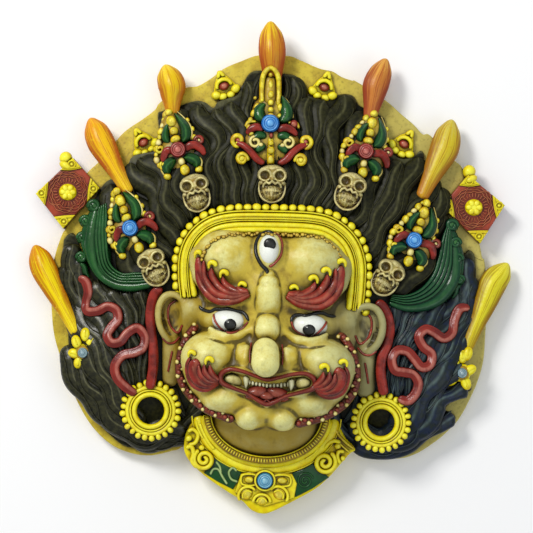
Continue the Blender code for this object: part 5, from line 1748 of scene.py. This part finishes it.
def finishes():
    """Every paint on the mask, by name."""
    main = bpy.context.scene.mask_paints
    glossy = dict(shine=0.25, wash=0.7, specks=0.0)
    table = {
        "plate": (main.plate, (184, 158, 34), (238, 222, 132), (84, 64, 18),
                  dict(shine=0.42, mottle=11, dry=0.6, specks=0.4, far=(188, 178, 98), open_at=(0.3, 0.9))),
        "raw": ((172, 164, 146), (152, 143, 126), (188, 182, 166), (92, 84, 72), dict(shine=0.75, mottle=30)),
        "hair": (main.hair, (44, 44, 19), (104, 103, 68), (4, 4, 2),
                 dict(shine=0.41, reach=7, dry=0.7, rub=(0.8, 0.99), specks=0.3, sheen=0.15, mottle=2.6,
                      open_at=(0.35, 0.95))),
        "blue_hair": (main.blue_hair, (16, 30, 54), (104, 124, 118), (3, 5, 8),
                      dict(shine=0.29, reach=6, dry=0.7, rub=(0.76, 0.99), specks=0.0, sheen=0.28,
                           mottle=5, open_at=(0.3, 0.9))),
        # left hair: a paler ridge colour than the crown, partly a painted highlight of glossy strands
        "side_hair": (main.hair, (50, 50, 25), (146, 144, 102), (5, 5, 2),
                      dict(shine=0.27, reach=5, dry=0.75, rub=(0.87, 1.0), specks=0.0, sheen=0.32,
                           mottle=3, open_at=(0.3, 0.9))),
        "white": ((232, 236, 226), (222, 227, 216), (244, 246, 238), (110, 104, 70), glossy),
        "black": ((16, 18, 16), (12, 13, 12), (50, 52, 48), (4, 4, 4), glossy),
        "red": (main.red, (104, 28, 20), (222, 148, 112), (30, 8, 6),
                dict(shine=0.24, reach=3.5, dry=0.6, rub=(0.72, 0.99), specks=0.08, mottle=9,
                     open_at=(0.42, 1.0))),
        "ribbon_red": ((138, 44, 34), (112, 34, 28), (206, 130, 112), (34, 10, 8),
                       dict(shine=0.24, reach=3.5, dry=0.55, rub=(0.7, 0.99), specks=0.05)),
        "lip_red": ((120, 38, 26), (96, 28, 20), (196, 108, 80), (28, 8, 6),
                    dict(shine=0.25, dry=0.45, rub=(0.7, 0.99), specks=0.05)),
        "brown_red": ((104, 40, 24), (80, 30, 18), (170, 92, 54), (26, 10, 6), dict(shine=0.32)),
        "tongue": ((128, 38, 28), (100, 28, 20), (206, 122, 96), (36, 10, 8), dict(shine=0.22, dry=0.3)),
        "gold": (main.gold, (222, 194, 6), (252, 252, 86), (80, 52, 4),
                 dict(shine=0.22, reach=3.0, mottle=7, specks=0.1, open_at=(0.32, 0.92), sheen=0.2)),
        "jewel_gold": ((234, 212, 14), (208, 160, 10), (252, 248, 104), (72, 44, 4),
                       dict(shine=0.23, reach=3.2, mottle=5, specks=0.1, open_at=(0.38, 0.96), veins=0.28,
                            sheen=0.2)),
        "old_gold": ((184, 148, 34), (150, 112, 26), (232, 206, 84), (50, 34, 8), dict(shine=0.32)),
        "pale_gold": ((222, 206, 112), (200, 174, 66), (246, 238, 170), (72, 52, 16), dict(shine=0.34)),
        "green": (main.green, (14, 60, 24), (86, 150, 70), (3, 14, 5),
                  dict(shine=0.2, reach=3.8, dry=0.45, rub=(0.7, 1.0), open_at=(0.34, 0.96),
                       far=(8, 60, 38))),
        "pale_green": ((142, 172, 100), (112, 148, 80), (200, 214, 150), (26, 50, 24), dict(shine=0.36)),
        "bed": ((160, 128, 30), (122, 92, 22), (220, 194, 70), (38, 26, 8), dict(shine=0.34)),
        "bone": (main.bone, (154, 124, 50), (240, 230, 166), (40, 26, 8),
                 dict(shine=0.32, reach=4, mottle=4, specks=0.45, open_at=(0.5, 1.0), veins=0.35)),
        "stone_red": ((140, 34, 32), (118, 28, 28), (216, 132, 118), (50, 8, 8), glossy),
        "stone_blue": ((30, 122, 208), (26, 106, 190), (134, 200, 240), (12, 52, 110), glossy),
        "stone_blue_pale": ((76, 160, 198), (58, 140, 184), (170, 216, 224), (20, 66, 98), glossy),
        "stone_grey": ((118, 152, 160), (90, 124, 138), (190, 206, 206), (40, 56, 64), glossy),
        "plaque_red": ((160, 62, 38), (132, 44, 28), (224, 158, 112), (52, 18, 10),
                       dict(shine=0.32, reach=2.5)),
        "gum": ((170, 158, 88), (140, 122, 56), (214, 206, 136), (46, 36, 12), dict(shine=0.3, mottle=5)),
        "ivory": ((188, 186, 138), (150, 150, 106), (232, 228, 190), (70, 56, 26), dict(shine=0.3)),
    }
    flames = {"top": ((202, 138, 36), (168, 76, 26), (238, 206, 32), (196, 84, 32)),
              "upper_left": ((224, 186, 20), (178, 104, 18), (238, 210, 52), (214, 146, 22)),
              "upper_right": ((196, 122, 52), (146, 62, 34), (224, 168, 74), (170, 84, 38)),
              "left": ((236, 188, 20), (172, 86, 22), (224, 146, 28), (238, 208, 40)),
              "right": ((212, 190, 40), (158, 106, 26), (208, 192, 84), (190, 114, 26)),
              "lower_left": ((236, 210, 8), (178, 108, 4), (206, 122, 8), (240, 224, 40)),
              "lower_right": ((222, 212, 32), (152, 114, 18), (234, 224, 68), (186, 156, 26))}
    paints = {key: paint(key + "_paint", *tones, **more) for key, (*tones, more) in table.items()}
    for key, tones in flames.items():
        paints["flame_" + key] = flame_paint(f"flame_{key}_paint", *tones)
    # skin: highlight, middle, low and crease tones, then the bluish grey of the painted shade on the right
    # side
    paints["skin"] = skin_paint("skin_paint", main.skin, (202, 180, 64), (146, 118, 32), (40, 32, 10),
                                (136, 146, 116))
    return paints


# ---------------------------------------------------------------- stage

CAMERA_PLACE = (-0.00156, 0.00073, 1.8)     # straight above the middle of the mask
CAMERA_LENS = 158.2
CAMERA_ROLL = 1.5                           # degrees


def make_stage():
    """Pale floor, soft lights and the camera above the lying mask."""
    form = bmesh.new()
    bmesh.ops.create_grid(form, x_segments=4, y_segments=4, size=3.0)
    mesh = bpy.data.meshes.new("floor")
    form.to_mesh(mesh)
    form.free()
    floor = bpy.data.objects.new("floor", mesh)
    bpy.context.scene.collection.objects.link(floor)
    material = bpy.data.materials.new("floor_paper")
    material.use_nodes = True
    tree = material.node_tree
    shader = tree.nodes["Principled BSDF"]
    tint = blend_colour(tree, noise(tree, 400, 2), colour((250, 250, 250)), colour((252, 252, 252)))
    tree.links.new(tint, shader.inputs["Base Color"])
    shader.inputs["Roughness"].default_value = 0.8
    mesh.materials.append(material)

    for name, place, size, power, tint in (("key", (-0.95, 1.0, 1.5), 0.55, 26, (1.0, 0.98, 0.94)),
                                           ("fill", (1.2, -0.5, 1.5), 1.0, 4, (0.84, 0.92, 1.0)),
                                           ("top", (0.1, 0.3, 2.2), 1.2, 3, (1.0, 1.0, 1.0))):
        light = bpy.data.lights.new(name, "AREA")
        light.size = size
        light.energy = power
        light.color = tint
        lamp = bpy.data.objects.new(name, light)
        lamp.location = place
        lamp.rotation_euler = (-Vector(place)).to_track_quat("-Z", "Y").to_euler()
        bpy.context.scene.collection.objects.link(lamp)
    bpy.context.scene.view_settings.view_transform = "Standard"
    world = bpy.context.scene.world or bpy.data.worlds.new("studio")
    bpy.context.scene.world = world
    world.use_nodes = True
    sky = world.node_tree.nodes["Background"]
    sky.inputs["Color"].default_value = (0.95, 0.97, 1.0, 1.0)
    sky.inputs["Strength"].default_value = 0.5

    camera = bpy.data.cameras.new("camera")
    camera.sensor_width = 36.0
    camera.lens = CAMERA_LENS
    camera.clip_end = 20.0
    eye = bpy.data.objects.new("camera", camera)
    eye.location = CAMERA_PLACE
    eye.rotation_euler = (0, 0, math.radians(CAMERA_ROLL))
    bpy.context.scene.collection.objects.link(eye)
    bpy.context.scene.camera = eye


# ---------------------------------------------------------------- operators

SURFACE = {}


def face_surface():
    """Surface of the head, which the pieces of the face lie on."""
    if "face" not in SURFACE:
        raise RuntimeError("the head comes before what lies on it")
    return SURFACE["face"]


class MASK_OT_plate(bpy.types.Operator):
    """Halo plate and the lining of the hollow back"""

    bl_idname = "mask.plate"
    bl_label = "Halo plate"

    def execute(self, context):
        make_plate(finishes())
        return {"FINISHED"}


class MASK_OT_hair(bpy.types.Operator):
    """Hair mass and its locks"""

    bl_idname = "mask.hair"
    bl_label = "Hair"

    def execute(self, context):
        make_hair(finishes())
        return {"FINISHED"}


class MASK_OT_head(bpy.types.Operator):
    """Head with its ears, neck and eyeballs"""

    bl_idname = "mask.head"
    bl_label = "Head"

    def execute(self, context):
        SURFACE["face"] = make_head(finishes())
        return {"FINISHED"}


class MASK_OT_eyes(bpy.types.Operator):
    """Painted lines, rims and pupils of the three eyes"""

    bl_idname = "mask.eyes"
    bl_label = "Eyes"

    def execute(self, context):
        make_eyes(finishes(), face_surface())
        return {"FINISHED"}


class MASK_OT_brows(bpy.types.Operator):
    """Flame-like eyebrows and moustaches"""

    bl_idname = "mask.brows"
    bl_label = "Eyebrows and moustaches"

    def execute(self, context):
        make_brows(finishes(), face_surface())
        return {"FINISHED"}


class MASK_OT_mouth(bpy.types.Operator):
    """Lips, teeth, fangs and tongue"""

    bl_idname = "mask.mouth"
    bl_label = "Mouth"

    def execute(self, context):
        make_mouth(finishes())
        return {"FINISHED"}


class MASK_OT_beard(bpy.types.Operator):
    """Beaded beard along the jaw"""

    bl_idname = "mask.beard"
    bl_label = "Jaw beard"

    def execute(self, context):
        make_beard(finishes(), face_surface())
        return {"FINISHED"}


class MASK_OT_ears(bpy.types.Operator):
    """Ear lines, straps and earrings"""

    bl_idname = "mask.ears"
    bl_label = "Ears and earrings"

    def execute(self, context):
        make_ears(finishes(), face_surface())
        return {"FINISHED"}


class MASK_OT_crown(bpy.types.Operator):
    """Crown band with its beads, five skulls and five jewels"""

    bl_idname = "mask.crown"
    bl_label = "Crown"

    def execute(self, context):
        paints = finishes()
        make_crown_band(paints, face_surface())
        make_skulls(paints)
        make_jewels(paints)
        return {"FINISHED"}


class MASK_OT_flames(bpy.types.Operator):
    """Seven flame leaves around the halo"""

    bl_idname = "mask.flames"
    bl_label = "Flames"

    def execute(self, context):
        make_flames(finishes())
        return {"FINISHED"}


class MASK_OT_ornaments(bpy.types.Operator):
    """Square plaques, small studs and side flowers"""

    bl_idname = "mask.ornaments"
    bl_label = "Plaques and studs"

    def execute(self, context):
        paints = finishes()
        make_plaques(paints)
        make_studs(paints)
        return {"FINISHED"}


class MASK_OT_scarves(bpy.types.Operator):
    """Green scarves and red ribbons"""

    bl_idname = "mask.scarves"
    bl_label = "Scarves and ribbons"

    def execute(self, context):
        paints = finishes()
        make_scarves(paints)
        make_ribbons(paints)
        return {"FINISHED"}


class MASK_OT_necklace(bpy.types.Operator):
    """Necklace collar with its apron, panels and stone"""

    bl_idname = "mask.necklace"
    bl_label = "Necklace"

    def execute(self, context):
        make_necklace(finishes())
        return {"FINISHED"}


class MASK_OT_stage(bpy.types.Operator):
    """Pale floor, soft lights and camera"""

    bl_idname = "mask.stage"
    bl_label = "Stage"

    def execute(self, context):
        make_stage()
        return {"FINISHED"}


STEPS = (MASK_OT_plate, MASK_OT_hair, MASK_OT_head, MASK_OT_eyes, MASK_OT_brows, MASK_OT_mouth,
         MASK_OT_beard, MASK_OT_ears, MASK_OT_crown, MASK_OT_flames, MASK_OT_ornaments, MASK_OT_scarves,
         MASK_OT_necklace, MASK_OT_stage)


class MASK_PT_panel(bpy.types.Panel):
    """Sidebar list of the mask's steps"""

    bl_idname = "MASK_PT_panel"
    bl_label = "Mask"
    bl_space_type = "VIEW_3D"
    bl_region_type = "UI"
    bl_category = "Mask"

    def draw(self, context):
        layout = self.layout
        for group in (context.scene.mask_sizes, context.scene.mask_paints):
            for key in group.__annotations__:
                layout.prop(group, key)
        for step in STEPS:
            layout.operator(step.bl_idname)


CLASSES = (MaskPaints, MaskSizes, *STEPS, MASK_PT_panel)


def register():
    for item in CLASSES:
        bpy.utils.register_class(item)
    bpy.types.Scene.mask_paints = PointerProperty(type=MaskPaints)
    bpy.types.Scene.mask_sizes = PointerProperty(type=MaskSizes)


def unregister():
    del bpy.types.Scene.mask_sizes
    del bpy.types.Scene.mask_paints
    for item in reversed(CLASSES):
        bpy.utils.unregister_class(item)


def main():
    register()
    for step in STEPS:
        group, action = step.bl_idname.split(".")
        getattr(getattr(bpy.ops, group), action)()
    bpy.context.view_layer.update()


if __name__ == "__main__":
    main()
